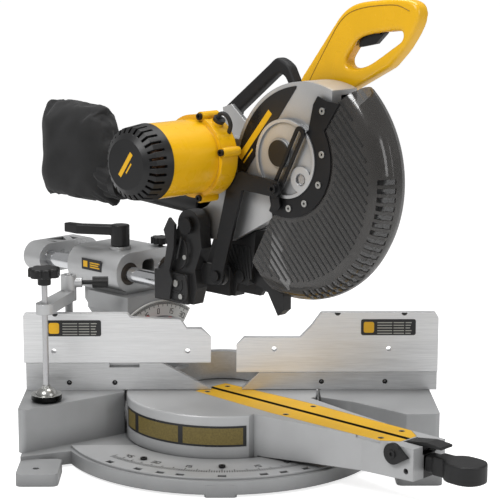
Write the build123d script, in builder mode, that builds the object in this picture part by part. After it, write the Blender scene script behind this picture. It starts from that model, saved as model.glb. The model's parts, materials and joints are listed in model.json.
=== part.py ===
"""Double-rail sliding mitre saw with a 254 mm blade, turned 45 degrees to the right, head raised.

Frame: millimetres, +Z up, +X to the operator's right, +Y away from the operator. The origin is the
centre of the four bench-bolt holes, on the bench. Everything that turns with the mitre arm is placed
with two coordinates in the blade plane, (reach, height): reach runs from the mitre pivot towards the
operator, height is above the table. A third one, left, is measured from the blade towards the
left side of the saw.
"""
import os
from math import cos, radians, sin, sqrt

from build123d import *

os.makedirs("parts", exist_ok=True)

# ---- driving dimensions -------------------------------------------------------------------------
TABLE_Z = 90  # table surface above the bench
PIVOT_Y = 45  # mitre pivot behind the origin
MITRE = 45  # modelled mitre angle, to the right
TABLE_R = 147
SKIRT = 65  # height of the turntable's side
ARM_END = 405
RUN = 0.3  # clearance between parts that move past each other
FIT = 0.05  # radial clearance of a running shaft

BLADE_R = 127
BLADE_T = 2.5
ARBOR = (193, 350)
ARBOR_R = 8
GUARD_HUB = (162, 377)  # axis of the lower guard
HUB_R = 57
SHELL = (163, 350)  # centre of the lower guard's rim
SHELL_R = 181
MOTOR = (21, 372)
HEAD_PIVOT = (-15, 262)
LINK_PIVOT = (34, 191)
LINK_PIN = (151, 334)

RAIL_R = 12
RAIL_SPREAD = 40
RAIL_Z = 165

RIGHT_WALL = (-26, -21)
MIDDLE_WALL = (8, 11)
BELT_SPACE = (11, 23)
COVER = (23, 27)
GUARD_PLATE = (28.5, 31.5)

FENCE_X = 301
FENCE_TOP = 121
FENCE_LOW_LEFT = 43
FENCE_LOW_RIGHT = 28
FENCE_T = 9.5
KNOB_X = 190  # fence lock knobs, either side
HOLE_X = 270  # bench-bolt holes, either side
HOLE_Y = 120  # bench-bolt holes, front and back
BENCH_HOLE_R = 4.75

OUT = Vector(sin(radians(MITRE)), -cos(radians(MITRE)), 0)  # towards the operator along the arm
LEFT = Vector(-cos(radians(MITRE)), -sin(radians(MITRE)), 0)  # to the left of the blade
UP = Vector(0, 0, 1)
PIVOT = Vector(0, PIVOT_Y, TABLE_Z)


# ---- helpers ------------------------------------------------------------------------------------
def point(reach, height, left=0):
    """World place of a point given along the arm."""
    return PIVOT + OUT * reach + UP * height + LEFT * left


def side(left):
    """Plane parallel to the blade: sketch x is reach, y is height, normal to the left."""
    return Plane(origin=PIVOT + LEFT * left, x_dir=OUT, z_dir=LEFT)


def facing(reach):
    """Plane facing the operator: sketch x is to the right of the blade, y is height."""
    return Plane(origin=PIVOT + OUT * reach, x_dir=LEFT * -1, z_dir=OUT)


def level(height):
    """Level plane on the arm: sketch x is reach, y is to the right of the blade."""
    return Plane(origin=PIVOT + UP * height, x_dir=OUT, z_dir=UP)


def table(height):
    """Level plane square to the fence: sketch x is right, y is back, from the mitre pivot."""
    return Plane(origin=PIVOT + UP * height)


def upright(y):
    """Plane along the fence: sketch x is right, y is up from the table, normal to the front."""
    return Plane(origin=PIVOT + Vector(0, y, 0), x_dir=(1, 0, 0), z_dir=(0, -1, 0))


def outline(*points, mode=Mode.ADD):
    """Closed straight-sided face through the given points."""
    Polygon(*points, align=None, mode=mode)


def polar(centre, radius, angle):
    """Point at a radius and angle about a centre, in a sketch."""
    return (centre[0] + radius * cos(radians(angle)), centre[1] + radius * sin(radians(angle)))


def save(piece, name):
    """Label a finished piece and write it."""
    piece.part.label = name
    export_step(piece.part, f"parts/{name}.step")


def save_group(pieces, name):
    """Write pieces that share one node, as separate solids."""
    solids = []
    for piece in pieces:
        solids.extend(piece.part.solids())
    export_step(Compound(solids, label=name), f"parts/{name}.step")


def disc(left, thickness, centre, radius, bore=0):
    """Round plate or ring square to the blade's axis, inside the current part."""
    with BuildSketch(side(left)) as ring:
        with Locations(centre):
            Circle(radius)
            if bore:
                Circle(bore, mode=Mode.SUBTRACT)
    extrude(ring.sketch, amount=thickness)


def socket_screws(places, head_r, head_t, shank_r=0, shank=0):
    """Group of socket-head screws; each place is a plane whose normal points out of the head."""
    with BuildPart() as screws:
        for place in places:
            with BuildSketch(place):
                Circle(head_r)
                RegularPolygon(head_r * 0.55, 6, mode=Mode.SUBTRACT)
            extrude(amount=head_t)
            with BuildSketch(place):
                Circle(head_r * 0.97)
            extrude(amount=head_t * 0.3)
            if shank:
                with BuildSketch(place):
                    Circle(shank_r)
                extrude(amount=-shank)
    return screws


# ---- base ---------------------------------------------------------------------------------------
ARC_R = 246
BASE_BOTTOM = -86
FLANGE_TOP = -66
WING_REAR = 56
left_wing = [(-302, -118), (-150, -10), (-150, WING_REAR), (-302, WING_REAR)]
right_wing = [(320, -137), (270, -137), (195, -67), (150, -42), (150, WING_REAR), (320, WING_REAR)]
front_feet = [(-266.5, -157, 61, 76), (285, -157, 66, 76)]
rear_feet = [(-266.5, 75, 61, 60), (285, 75, 66, 60)]

with BuildPart() as base:
    with BuildSketch(table(BASE_BOTTOM)):
        Circle(ARC_R)
        with Locations((0, ARC_R - 45)):
            Rectangle(2 * ARC_R, 2 * ARC_R, mode=Mode.SUBTRACT)
        outline((-297, -128), (-225, -100), (-150, -60), (-150, 90), (-297, 90))
        outline((318, -147), (225, -100), (150, -60), (150, 90), (318, 90))
        Circle(TABLE_R + 12)
    extrude(amount=FLANGE_TOP - BASE_BOTTOM)
    for wing in (left_wing, right_wing):
        with BuildSketch(table(FLANGE_TOP)) as top:
            outline(*wing)
            fillet(top.vertices().filter_by(lambda corner: abs(corner.X) > 290), 8)
        extrude(amount=-FLANGE_TOP)
    with BuildSketch(table(BASE_BOTTOM - 4)):
        for x, y, width, depth in front_feet + rear_feet:
            with Locations((x, y)):
                RectangleRounded(width, depth, 9)
        with Locations((-2, -228)):
            RectangleRounded(46, 36, 5)
    extrude(amount=FLANGE_TOP - BASE_BOTTOM - 2)
    for wing in (left_wing, right_wing):  # the wings are hollow castings, open below
        with BuildSketch(table(BASE_BOTTOM)):
            outline(*wing)
            offset(amount=-9, mode=Mode.REPLACE)
        extrude(amount=-BASE_BOTTOM - 9, mode=Mode.SUBTRACT)
    with BuildSketch(table(-SKIRT - 2)):
        Circle(TABLE_R + 2)
    extrude(amount=SKIRT + 4, mode=Mode.SUBTRACT)
    with BuildSketch(table(BASE_BOTTOM)):
        Circle(TABLE_R - 12)
        Circle(28, mode=Mode.SUBTRACT)
        Rectangle(2 * TABLE_R, 26, mode=Mode.SUBTRACT)
        Rectangle(26, 2 * TABLE_R, mode=Mode.SUBTRACT)
    extrude(amount=11, mode=Mode.SUBTRACT)
    with BuildSketch(table(BASE_BOTTOM - 5)):
        for x in (-HOLE_X, HOLE_X):
            for y in (-PIVOT_Y - HOLE_Y, -PIVOT_Y + HOLE_Y):
                with Locations((x, y)):
                    Circle(BENCH_HOLE_R)
        Circle(8 + FIT)
    extrude(amount=30, mode=Mode.SUBTRACT)
save(base, "base")

NOTCH_ANGLES = [0, 15, 22.5, 31.62, 45]
with BuildPart() as detent_plate:
    with BuildSketch(table(FLANGE_TOP)):
        Circle(240)
        Circle(TABLE_R + 5, mode=Mode.SUBTRACT)
        with Locations((0, 200)):
            Rectangle(520, 560, mode=Mode.SUBTRACT)
        for angle in NOTCH_ANGLES + [-value for value in NOTCH_ANGLES[1:]]:
            with Locations(Location((230 * sin(radians(angle)), -230 * cos(radians(angle))), angle)):
                Rectangle(12, 9, mode=Mode.SUBTRACT)
        outline(*right_wing, mode=Mode.SUBTRACT)
    extrude(amount=3)
save(detent_plate, "detent_plate")

plate_places = []
for angle in (-37, 0, 30):
    spot = Vector(190 * sin(radians(angle)), -190 * cos(radians(angle)), FLANGE_TOP + 3)
    plate_places.append(Plane(origin=PIVOT + spot))
plate_screws = socket_screws(plate_places, 5, 3)

# ---- fixed and sliding fences -------------------------------------------------------------------
with BuildPart() as left_fixed_fence:
    with BuildSketch(upright(0)):
        outline((-FENCE_X, 0), (-FENCE_X, FENCE_LOW_LEFT), (-92, FENCE_LOW_LEFT), (-17, 2), (-17, 0.8),
                (-152, 0.8), (-152, 0))
    extrude(amount=-FENCE_T)
    with BuildSketch(upright(-0.01)):
        with Locations((-150, FENCE_LOW_LEFT)):
            Rectangle(46, 14)
    extrude(amount=-FENCE_T, mode=Mode.SUBTRACT)
    with BuildSketch(table(0)):
        outline((-FENCE_X, 0), (-152, 0), (-152, 24), (-FENCE_X, 24))
    extrude(amount=9)
    with BuildSketch(upright(19.5)):
        outline((-KNOB_X - 10, 0), (-KNOB_X - 10, 40), (-KNOB_X + 10, 40), (-KNOB_X + 10, 0))
    extrude(amount=-9)
    with BuildSketch(upright(0)):
        with Locations((-235, 12), (-165, 12)):
            Circle(4)
    extrude(amount=-6, mode=Mode.SUBTRACT)
    with BuildSketch(upright(18)):
        with Locations((-KNOB_X, 28)):
            Circle(4)
    extrude(amount=-20, mode=Mode.SUBTRACT)

with BuildPart() as right_fixed_fence:
    with BuildSketch(upright(0)):
        outline((31, 0.8), (31, 2), (57, FENCE_LOW_RIGHT), (FENCE_X + 30, FENCE_LOW_RIGHT),
                (FENCE_X + 30, 0), (152, 0), (152, 0.8))
    extrude(amount=-FENCE_T)
    with BuildSketch(table(0)):
        outline((152, 0), (FENCE_X + 19, 0), (FENCE_X + 19, 24), (152, 24))
    extrude(amount=9)
    with BuildSketch(upright(19.5)):
        outline((KNOB_X - 10, 0), (KNOB_X - 10, 40), (KNOB_X + 10, 40), (KNOB_X + 10, 0))
    extrude(amount=-9)
    with BuildSketch(upright(0)):
        with Locations((153, 13), (251, 13)):
            Circle(4)
    extrude(amount=-6, mode=Mode.SUBTRACT)
    with BuildSketch(upright(18)):
        with Locations((KNOB_X, 28)):
            Circle(4)
    extrude(amount=-20, mode=Mode.SUBTRACT)

with BuildPart() as fixed_fence:
    with BuildSketch(table(0.8)):
        Circle(82)
        Circle(68, mode=Mode.SUBTRACT)
        with Locations((0, -100)):
            Rectangle(300, 240, mode=Mode.SUBTRACT)
        for x in (-75, 75):
            with Locations((x, 15)):
                Rectangle(14, 11)
    extrude(amount=26)
    with BuildSketch(table(0.8)):
        Circle(82)
        Circle(68, mode=Mode.SUBTRACT)
        with Locations((0, -75)):
            Rectangle(300, 240, mode=Mode.SUBTRACT)
    extrude(amount=44)
    for x in (-75, 75):
        with BuildSketch(table(0.8)):
            with Locations((x * 1.52, 15)):
                Rectangle(92, 11)
        extrude(amount=20)
    add(left_fixed_fence.part)
    add(right_fixed_fence.part)
save(fixed_fence, "fixed_fence")


def sliding_fence(profile, web_low, web_high, web_ends, holes, name):
    """Tall fence plate with a keyed web that runs behind the fixed fence."""
    with BuildPart() as fence:
        with BuildSketch(upright(0)):
            outline(*profile)
        extrude(amount=-12)
        corners = fence.edges().filter_by(Axis.Y).sort_by(Axis.Z)[-4:]
        fillet(corners, 5)
        with BuildSketch(upright(10)):
            outline((web_ends[0], web_low), (web_ends[0], web_high), (web_ends[1], web_high),
                    (web_ends[1], web_low))
        extrude(amount=-8)
        with BuildSketch(upright(0)):
            with Locations(*holes):
                Circle(4)
        extrude(amount=-20, mode=Mode.SUBTRACT)
        inner = max(profile, key=lambda corner: -abs(corner[0]))[0]
        sign = 1 if inner > 0 else -1
        with BuildSketch(table(0)):
            outline((inner - sign, 3), (inner + sign * 14, 13), (inner - sign, 13))
        extrude(amount=FENCE_TOP, mode=Mode.SUBTRACT)
    save(fence, name)


sliding_fence(
    [(-304, 43.5), (-304, 121), (-144, 121), (-140, 114), (-64, 112), (-54, 97), (-32, 97), (-17, 84),
     (-17, 43.5)],
    22, 60, (-300, -100), [(-258, 62), (-53, 62)], "left_sliding_fence")
sliding_fence(
    [(22, 28.5), (22, 72), (34, 83), (120, 83), (137, 101), (152, 122), (327, 122), (332, 114), (332, 28.5)],
    22, 60, (100, 328), [(80, 65), (256, 65)], "right_sliding_fence")


def fence_knob(x, name):
    """Star knob with the screw that clamps a sliding fence from behind."""
    with BuildPart() as knob:
        with BuildSketch(upright(31)):
            with Locations((x, 28)):
                Circle(15)
            with Locations((x, 28)):
                with PolarLocations(16, 6):
                    Circle(4, mode=Mode.SUBTRACT)
        extrude(amount=-14)
        with BuildSketch(upright(18.4)):
            with Locations((x, 28)):
                Circle(3.9)
        extrude(amount=-14)
    save(knob, name)


fence_knob(-KNOB_X, "left_fence_knob")
fence_knob(KNOB_X, "right_fence_knob")

with BuildPart() as fence_screws:
    for x, z in ((-235, 12), (-165, 12), (153, 13), (251, 13)):
        with BuildSketch(upright(6)):
            with Locations((x, z)):
                Circle(3.8)
                RegularPolygon(2, 6, mode=Mode.SUBTRACT)
        extrude(amount=4)
save_group([plate_screws, fence_screws], "base_screws")

# ---- hold-down clamp ----------------------------------------------------------------------------
POST = (-237, 38)
ROD = (-264, -58)
ARM_Z = 134
ARM_T = 16
with BuildPart() as clamp_post:
    with BuildSketch(table(0)):
        with Locations(POST):
            Circle(6)
    extrude(amount=176)
    with BuildSketch(table(0)):
        with Locations(POST):
            Circle(9)
    extrude(amount=6)

with BuildPart() as clamp_arm:
    with BuildSketch(table(ARM_Z)):
        with Locations(POST):
            Circle(12)
        with Locations(ROD):
            Circle(13.5)
        outline((POST[0] - 11, POST[1]), (POST[0] + 11, POST[1]), (ROD[0] + 13, ROD[1]), (ROD[0] - 13, ROD[1]))
        with Locations(POST):
            Circle(6, mode=Mode.SUBTRACT)
        with Locations(ROD):
            Circle(4.5 + FIT, mode=Mode.SUBTRACT)
    extrude(amount=ARM_T)
    with BuildSketch(table(ARM_Z + ARM_T)):
        with Locations(POST):
            Circle(12)
            Circle(6, mode=Mode.SUBTRACT)
    extrude(amount=24)
    with BuildSketch(Plane(origin=PIVOT + Vector(POST[0] + 9, POST[1], ARM_Z + 28), x_dir=(0, 1, 0), z_dir=(1, 0, 0))):
        Circle(8)
        Circle(3.5, mode=Mode.SUBTRACT)
    extrude(amount=12)
    with BuildSketch(Plane(origin=PIVOT + Vector(POST[0] + 5, POST[1], ARM_Z + 28), x_dir=(0, 1, 0), z_dir=(1, 0, 0))):
        Circle(3.5)
    extrude(amount=8, mode=Mode.SUBTRACT)
save_group([clamp_post, clamp_arm], "clamp_frame")

with BuildPart() as clamp_screw:
    with BuildSketch(Plane(origin=PIVOT + Vector(POST[0] + 6.3, POST[1], ARM_Z + 28), x_dir=(0, 1, 0), z_dir=(1, 0, 0))):
        Circle(3.4)
    extrude(amount=34)
    with BuildSketch(Plane(origin=PIVOT + Vector(POST[0] + 37, POST[1], ARM_Z + 28), x_dir=(0, 1, 0), z_dir=(1, 0, 0))):
        Circle(9)
        with PolarLocations(9.5, 8):
            Circle(1.6, mode=Mode.SUBTRACT)
    extrude(amount=24)
save(clamp_screw, "clamp_thumbscrew")

with BuildPart() as clamp_rod:
    with BuildSketch(table(16)):
        with Locations(ROD):
            Circle(4.5)
    extrude(amount=162)
save(clamp_rod, "clamp_rod")

with BuildPart() as clamp_knob:
    with BuildSketch(table(178)):
        with Locations(ROD):
            Circle(10)
    extrude(amount=12)
    with BuildSketch(table(190)):
        with Locations(ROD):
            Circle(24)
        with Locations(ROD):
            with PolarLocations(26, 7):
                Circle(6, mode=Mode.SUBTRACT)
    extrude(amount=14)
    fillet(clamp_knob.faces().sort_by(Axis.Z)[-1].edges(), 3)
save(clamp_knob, "clamp_knob")

with BuildPart() as clamp_dome:
    with BuildSketch(Plane(origin=PIVOT + Vector(*ROD, 0), x_dir=(1, 0, 0), z_dir=(0, -1, 0))):
        with BuildLine():
            Polyline((0, 8), (16, 8), (16, 10))
            ThreePointArc((16, 10), (12.5, 17), (6, 21))
            Polyline((6, 21), (6, 24), (4.6, 24), (4.6, 15.9), (0, 15.9), (0, 8))
        make_face()
    revolve(axis=Axis(PIVOT + Vector(*ROD, 0), (0, 0, 1)))

with BuildPart() as clamp_pad:
    with BuildSketch(table(1)):
        with Locations(ROD):
            Circle(23)
    extrude(amount=7)
    with BuildSketch(table(8)):
        with Locations(ROD):
            Circle(23)
            Circle(16.2, mode=Mode.SUBTRACT)
    extrude(amount=3)
    fillet(clamp_pad.faces().sort_by(Axis.Z)[0].edges(), 3)
save_group([clamp_pad, clamp_dome], "clamp_pad")

# ---- turntable and mitre arm --------------------------------------------------------------------
ARM_ROOT = 62  # half width where the arm leaves the table
ARM_TIP = 35
REAR_ARM = 34
FLANGE_R = 48  # bevel joint face
FLANGE_REACH = (-142, -126)
SLOT_ENDS = (-24, 366)
KERF_T = 4
DETENT_PIVOT = (ARM_END - 16, -3)
with BuildPart() as turntable:
    with BuildSketch(level(-SKIRT)):
        Circle(TABLE_R)
    extrude(amount=SKIRT)
    fillet(turntable.faces().sort_by(Axis.Z)[-1].edges(), 3)
    with BuildSketch(side(-ARM_ROOT)):
        outline((60, 0), (ARM_END, 0), (ARM_END, -46), (320, -50), (TABLE_R, -62), (60, -62))
    extrude(amount=2 * ARM_ROOT)
    for sign in (-1, 1):  # the arm's sides taper
        with BuildSketch(level(-SKIRT)):
            outline((128, sign * ARM_ROOT), (220, sign * 47), (312, sign * ARM_TIP), (ARM_END + 2, sign * ARM_TIP),
                    (ARM_END + 2, sign * 90), (128, sign * 90))
        extrude(amount=SKIRT + 2, mode=Mode.SUBTRACT)
    with BuildSketch(level(-60)):
        with Locations(((FLANGE_REACH[0] - 80) / 2 + 1, 0)):
            Rectangle(-FLANGE_REACH[0] - 80, 2 * REAR_ARM)
    extrude(amount=52)
    with BuildSketch(facing(FLANGE_REACH[0])):
        Circle(FLANGE_R)
    extrude(amount=FLANGE_REACH[1] - FLANGE_REACH[0])
    with BuildSketch(level(-SKIRT - 1)):  # hollow below
        Circle(TABLE_R - 7)
        Circle(22, mode=Mode.SUBTRACT)
    extrude(amount=SKIRT - 8, mode=Mode.SUBTRACT)
    with BuildSketch(level(-SKIRT - 1)):
        outline((120, -50), (300, -28), (ARM_END - 30, -28), (ARM_END - 30, 28), (300, 28), (120, 50))
    extrude(amount=SKIRT - 8, mode=Mode.SUBTRACT)
    with BuildSketch(level(-30)):  # trough under the kerf
        with Locations(((SLOT_ENDS[0] + SLOT_ENDS[1]) / 2, 0)):
            Rectangle(SLOT_ENDS[1] - SLOT_ENDS[0] - 8, 24)
    extrude(amount=30, mode=Mode.SUBTRACT)
    with BuildSketch(level(-KERF_T)):
        outline((SLOT_ENDS[0] - 2, -33), (140, -40), (345, -35), (SLOT_ENDS[1] + 2, -18), (SLOT_ENDS[1] + 2, 18),
                (345, 35), (140, 40), (SLOT_ENDS[0] - 2, 33))
    extrude(amount=KERF_T, mode=Mode.SUBTRACT)
    with BuildSketch(level(-SKIRT)):
        Circle(8 + FIT)
    extrude(amount=SKIRT - 32, mode=Mode.SUBTRACT)
    with BuildSketch(level(-SKIRT - 1)):  # flat for the trunnion
        with Locations((FLANGE_REACH[0] - 20, 0)):
            Rectangle(40, 140)
    extrude(amount=SKIRT + 60, mode=Mode.SUBTRACT)
    with BuildSketch(facing(FLANGE_REACH[0] - 1)):
        Circle(11)
    extrude(amount=20, mode=Mode.SUBTRACT)
    with BuildSketch(facing(ARM_END + 1)):  # lock-rod tunnel
        with Locations((0, -25)):
            Circle(6 + FIT)
    extrude(amount=-40, mode=Mode.SUBTRACT)
    with BuildSketch(level(-12)):  # pocket for the detent lever
        with Locations((ARM_END - 16, 0)):
            Rectangle(36, 30)
    extrude(amount=13, mode=Mode.SUBTRACT)
    with BuildSketch(side(-40)):
        with Locations((392, -34)):
            Circle(4)
    extrude(amount=80, mode=Mode.SUBTRACT)
    disc(-15.5, 31, DETENT_PIVOT, 2)
save(turntable, "turntable")

with BuildPart() as pivot_bolt:
    with BuildSketch(table(-SKIRT - 21)):
        Circle(8)
    extrude(amount=38)
    with BuildSketch(table(-SKIRT - 25)):
        RegularPolygon(14, 6)
        Circle(8, mode=Mode.SUBTRACT)
    extrude(amount=3.5)
    with BuildSketch(table(-SKIRT - 25)):
        Circle(8)
    extrude(amount=5)
save(pivot_bolt, "pivot_bolt")

with BuildPart() as kerf_plates:
    for sign in (-1, 1):
        with BuildSketch(level(-KERF_T)):
            outline((SLOT_ENDS[0] - 1.5, sign * 4), (SLOT_ENDS[0] - 1.5, sign * 32.5), (140, sign * 39.5),
                    (344.5, sign * 34.5), (SLOT_ENDS[1] + 1.5, sign * 17.8), (SLOT_ENDS[1] + 1.5, sign * 4))
        extrude(amount=KERF_T)
        with BuildSketch(level(-KERF_T)):
            with Locations((-10, sign * 22), (162, sign * 30), (337, sign * 23)):
                Circle(4.5)
        extrude(amount=KERF_T, mode=Mode.SUBTRACT)
save(kerf_plates, "kerf_plates")

kerf_places = []
for reach, right in ((-10, 22), (162, 30), (337, 23)):
    for sign in (-1, 1):
        kerf_places.append(Plane(origin=point(reach, -KERF_T, -sign * right), x_dir=OUT, z_dir=UP))
save(socket_screws(kerf_places, 4.3, 3.4), "kerf_screws")

with BuildPart() as mitre_pointer:
    with BuildSketch(level(-60)):
        outline((152.5, -14), (196, -9), (208, 0), (196, 9), (152.5, 14))
    extrude(amount=1.5)
    with BuildSketch(level(-60)):
        outline((147.3, -14), (154, -14), (154, 14), (147.3, 14))
    extrude(amount=5)

with BuildPart() as lock_rod:
    with BuildSketch(facing(ARM_END - 36)):
        with Locations((0, -25)):
            Circle(6)
    extrude(amount=50)

with BuildPart() as lock_handle:
    with BuildSketch(facing(ARM_END + 2)):
        with Locations((0, -25)):
            RectangleRounded(26, 24, 6)
            Circle(6, mode=Mode.SUBTRACT)
    extrude(amount=12)
    with BuildSketch(facing(ARM_END + 14)):
        with Locations((0, -25)):
            RectangleRounded(26, 24, 6)
    extrude(amount=6)
    with BuildSketch(level(-38)):
        with Locations((ARM_END + 62, 0)):
            RectangleRounded(60, 52, 24)
        with Locations((ARM_END + 30, 0)):
            Rectangle(28, 28)
    extrude(amount=27)
    paddle_rims = lock_handle.edges().group_by(Axis.Z)
    fillet(paddle_rims[-1], 1.5)
save_group([lock_rod, lock_handle], "mitre_lock_handle")

with BuildPart() as detent_lever:
    with BuildSketch(side(-13)):
        outline((ARM_END - 32, -9), (ARM_END - 30, 1), (ARM_END + 4, 6), (ARM_END + 30, 4), (ARM_END + 30, 0),
                (ARM_END + 4, -1), (ARM_END - 4, -9))
        with Locations(DETENT_PIVOT):
            Circle(2 + FIT, mode=Mode.SUBTRACT)
    extrude(amount=26)
save(detent_lever, "detent_lever")

with BuildPart() as override_lever:
    with BuildSketch(side(ARM_TIP + 0.3)):
        with Locations((372, -12)):
            Circle(15)
        outline((376, -26.5), (398, -14), (380, 0))
    extrude(amount=6)
    with BuildSketch(side(ARM_TIP + 6.3)):
        with Locations((372, -12)):
            Circle(6)
            RegularPolygon(3, 6, mode=Mode.SUBTRACT)
    extrude(amount=2)
save(override_lever, "override_lever")

# ---- bevel trunnion, scale and pointer ----------------------------------------------------------
HOUSING = (-285, -166)
TRUNNION_FRONT = FLANGE_REACH[0] - RUN
with BuildPart() as trunnion:
    with BuildSketch(side(-34)):
        outline((TRUNNION_FRONT, -44), (TRUNNION_FRONT, 72), (-150, 96), (-150, 132), (-282, 132), (-282, 108),
                (-235, 62), (-212, -10), (-200, -44))
    extrude(amount=68)
    with BuildSketch(facing(TRUNNION_FRONT)):
        Circle(FLANGE_R)
    extrude(amount=-14)
    with BuildSketch(facing(-146)):
        outline((-62, 104), (-62, 132), (62, 132), (62, 104), (30, 62), (-30, 62))
    extrude(amount=-96)
    with BuildSketch(facing(TRUNNION_FRONT + 0.01)):
        Circle(11)
    extrude(amount=-40, mode=Mode.SUBTRACT)
    with BuildSketch(facing(-183)):  # spigot that the head tilts on
        Circle(10.95)
    extrude(amount=56)
save(trunnion, "trunnion")

with BuildPart() as bevel_scale:
    with BuildSketch(facing(-146)):
        Circle(119)
        Circle(94, mode=Mode.SUBTRACT)
        outline((0, 0), polar((0, 0), 200, 126), (-300, 0), (-300, -300), (300, -300), (300, 0),
                polar((0, 0), 200, 54), mode=Mode.SUBTRACT)
    extrude(amount=3)
save(bevel_scale, "bevel_scale")

with BuildPart() as bevel_pointer:
    with BuildSketch(facing(-134)):
        outline((-9, 46), (-9, 74), (-17, 80), (-17, 92), (17, 92), (17, 80), (9, 74), (9, 46))
    extrude(amount=4)
    with BuildSketch(facing(-134)):
        Circle(FLANGE_R)
    extrude(amount=6, mode=Mode.SUBTRACT)
save_group([mitre_pointer, bevel_pointer], "scale_pointers")

# ---- slide: bearing housing, bushes, rails, rear brace ------------------------------------------
with BuildPart() as bearing_housing:
    with BuildSketch(facing(HOUSING[0])):
        with Locations((0, 167)):
            RectangleRounded(134, 62, 28)
        with Locations((0, 140)):
            Rectangle(96, 16)
        for sign in (-1, 1):
            with Locations((sign * RAIL_SPREAD, RAIL_Z)):
                Circle(18, mode=Mode.SUBTRACT)
    extrude(amount=HOUSING[1] - HOUSING[0])
    with BuildSketch(facing(HOUSING[1])):
        with Locations((0, 166)):
            RectangleRounded(26, 34, 8)
    extrude(amount=-34, mode=Mode.SUBTRACT)
    with BuildSketch(level(197)):
        with Locations((-205, -24)):
            Circle(17)
    extrude(amount=6)
    with BuildSketch(level(190)):
        with Locations((-205, -24)):
            Circle(6)
        with Locations((-180, 40)):
            Circle(4)
    extrude(amount=20, mode=Mode.SUBTRACT)
save(bearing_housing, "bearing_housing")

with BuildPart() as rail_bushes:
    for sign in (-1, 1):
        for reach in (HOUSING[0] + 1, HOUSING[1] - 25):
            with BuildSketch(facing(reach)):
                with Locations((sign * RAIL_SPREAD, RAIL_Z)):
                    Circle(18)
                    Circle(RAIL_R + FIT, mode=Mode.SUBTRACT)
            extrude(amount=24)
save(rail_bushes, "rail_bushes")

RAIL_ENDS = (-396, -30)
with BuildPart() as rails:
    with BuildSketch(facing(RAIL_ENDS[0])):
        for sign in (-1, 1):
            with Locations((sign * RAIL_SPREAD, RAIL_Z)):
                Circle(RAIL_R)
    extrude(amount=RAIL_ENDS[1] - RAIL_ENDS[0])
save(rails, "rails")

with BuildPart() as rear_brace:
    with BuildSketch(facing(-402)):
        with Locations((0, RAIL_Z)):
            SlotOverall(128, 48)
    extrude(amount=42)
    with BuildSketch(level(120)):
        outline((-396, -20), (-366, -2), (-396, 16))
        outline((-366, -16), (-366, -27), (-388, -27))
        outline((-366, 13), (-366, 26), (-391, 26))
    extrude(amount=90, mode=Mode.SUBTRACT)
    with BuildSketch(facing(-396)):
        for sign in (-1, 1):
            with Locations((sign * RAIL_SPREAD, RAIL_Z)):
                Circle(RAIL_R)
    extrude(amount=40, mode=Mode.SUBTRACT)
save(rear_brace, "rear_brace")

with BuildPart() as bevel_lever:
    with BuildSketch(level(203.3)):
        with Locations((-205, -24)):
            Circle(15)
    extrude(amount=34)
    with BuildSketch(level(221)):
        outline((-209, -40), (-201, -8), (-262, -52), (-288, -58), (-288, -70), (-258, -70))
    extrude(amount=15)
    with BuildSketch(level(192)):
        with Locations((-205, -24)):
            Circle(5.9)
    extrude(amount=14)
    fillet(bevel_lever.faces().sort_by(Axis.Z)[-1].edges(), 0.9)
save(bevel_lever, "bevel_lever")

with BuildPart() as rail_knob:
    with BuildSketch(level(202)):
        with Locations((-180, 40)):
            Circle(16)
        with Locations((-180, 40)):
            with PolarLocations(17, 7):
                Circle(4, mode=Mode.SUBTRACT)
    extrude(amount=11)
    with BuildSketch(level(190.3)):
        with Locations((-180, 40)):
            Circle(3.9)
    extrude(amount=13)
save(rail_knob, "rail_knob")

# ---- carriage at the front of the rails ---------------------------------------------------------
EAR = (34, 55)
with BuildPart() as carriage:
    for near, far in (EAR, (-EAR[1], -EAR[0])):
        with BuildSketch(side(near)):
            outline((-84, 142), (-84, 188), (-62, 204), (-38, 262), (8, 262), (12, 230), (-2, 196), (2, 168),
                    (-6, 142))
            with Locations(HEAD_PIVOT):
                Circle(24)
        extrude(amount=far - near)
    with BuildSketch(side(-62)):
        outline((-84, 150), (-84, 188), (-68, 188), (-68, 150))
    extrude(amount=124)
    for sign in (-1, 1):
        with BuildSketch(side(sign * 28)):
            outline((-84, 142), (-84, 188), (-12, 188), (-12, 142))
        extrude(amount=sign * 34)
    with BuildSketch(side(35)):
        outline((-14, 172), (LINK_PIVOT[0], 176), (LINK_PIVOT[0], 206), (-14, 206))
        with Locations(LINK_PIVOT):
            Circle(15)
    extrude(amount=6.4)
    with BuildSketch(side(-36)):
        outline((-14, 150), (46, 150), (52, 158), (46, 166), (-14, 176))
    extrude(amount=-8)
    with BuildSketch(facing(-90)):
        for sign in (-1, 1):
            with Locations((sign * RAIL_SPREAD, RAIL_Z)):
                Circle(RAIL_R)
    extrude(amount=60, mode=Mode.SUBTRACT)
    with BuildSketch(side(-70)):
        with Locations(HEAD_PIVOT):
            Circle(8)
        with Locations(LINK_PIVOT):
            Circle(5)
    extrude(amount=140, mode=Mode.SUBTRACT)
save(carriage, "carriage")

with BuildPart() as stop_bracket:
    with BuildSketch(side(62)):
        outline((-78, 146), (-78, 184), (-58, 196), (-50, 232), (-58, 252), (-46, 272), (-34, 262), (-36, 226),
                (-46, 190), (-40, 178), (-46, 146))
    extrude(amount=5)
    disc(EAR[1], 7, (-46, 232), 5)
save(stop_bracket, "stop_bracket")

with BuildPart() as pivot_pin:
    disc(-60, 120, HEAD_PIVOT, 8)
    disc(-64, 4, HEAD_PIVOT, 13)
    disc(60, 4, HEAD_PIVOT, 13)
    disc(-82, 22, HEAD_PIVOT, 11.5)
    disc(-84, 2, HEAD_PIVOT, 19)

with BuildPart() as return_spring:
    coil = Helix(pitch=3.6, height=14.4, radius=14, center=point(*HEAD_PIVOT, -79), direction=LEFT)
    with BuildLine():
        add(coil)
    with BuildSketch(Plane(origin=coil @ 0, z_dir=coil % 0)):
        Circle(1.5)
    sweep()
save(return_spring, "return_spring")


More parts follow.
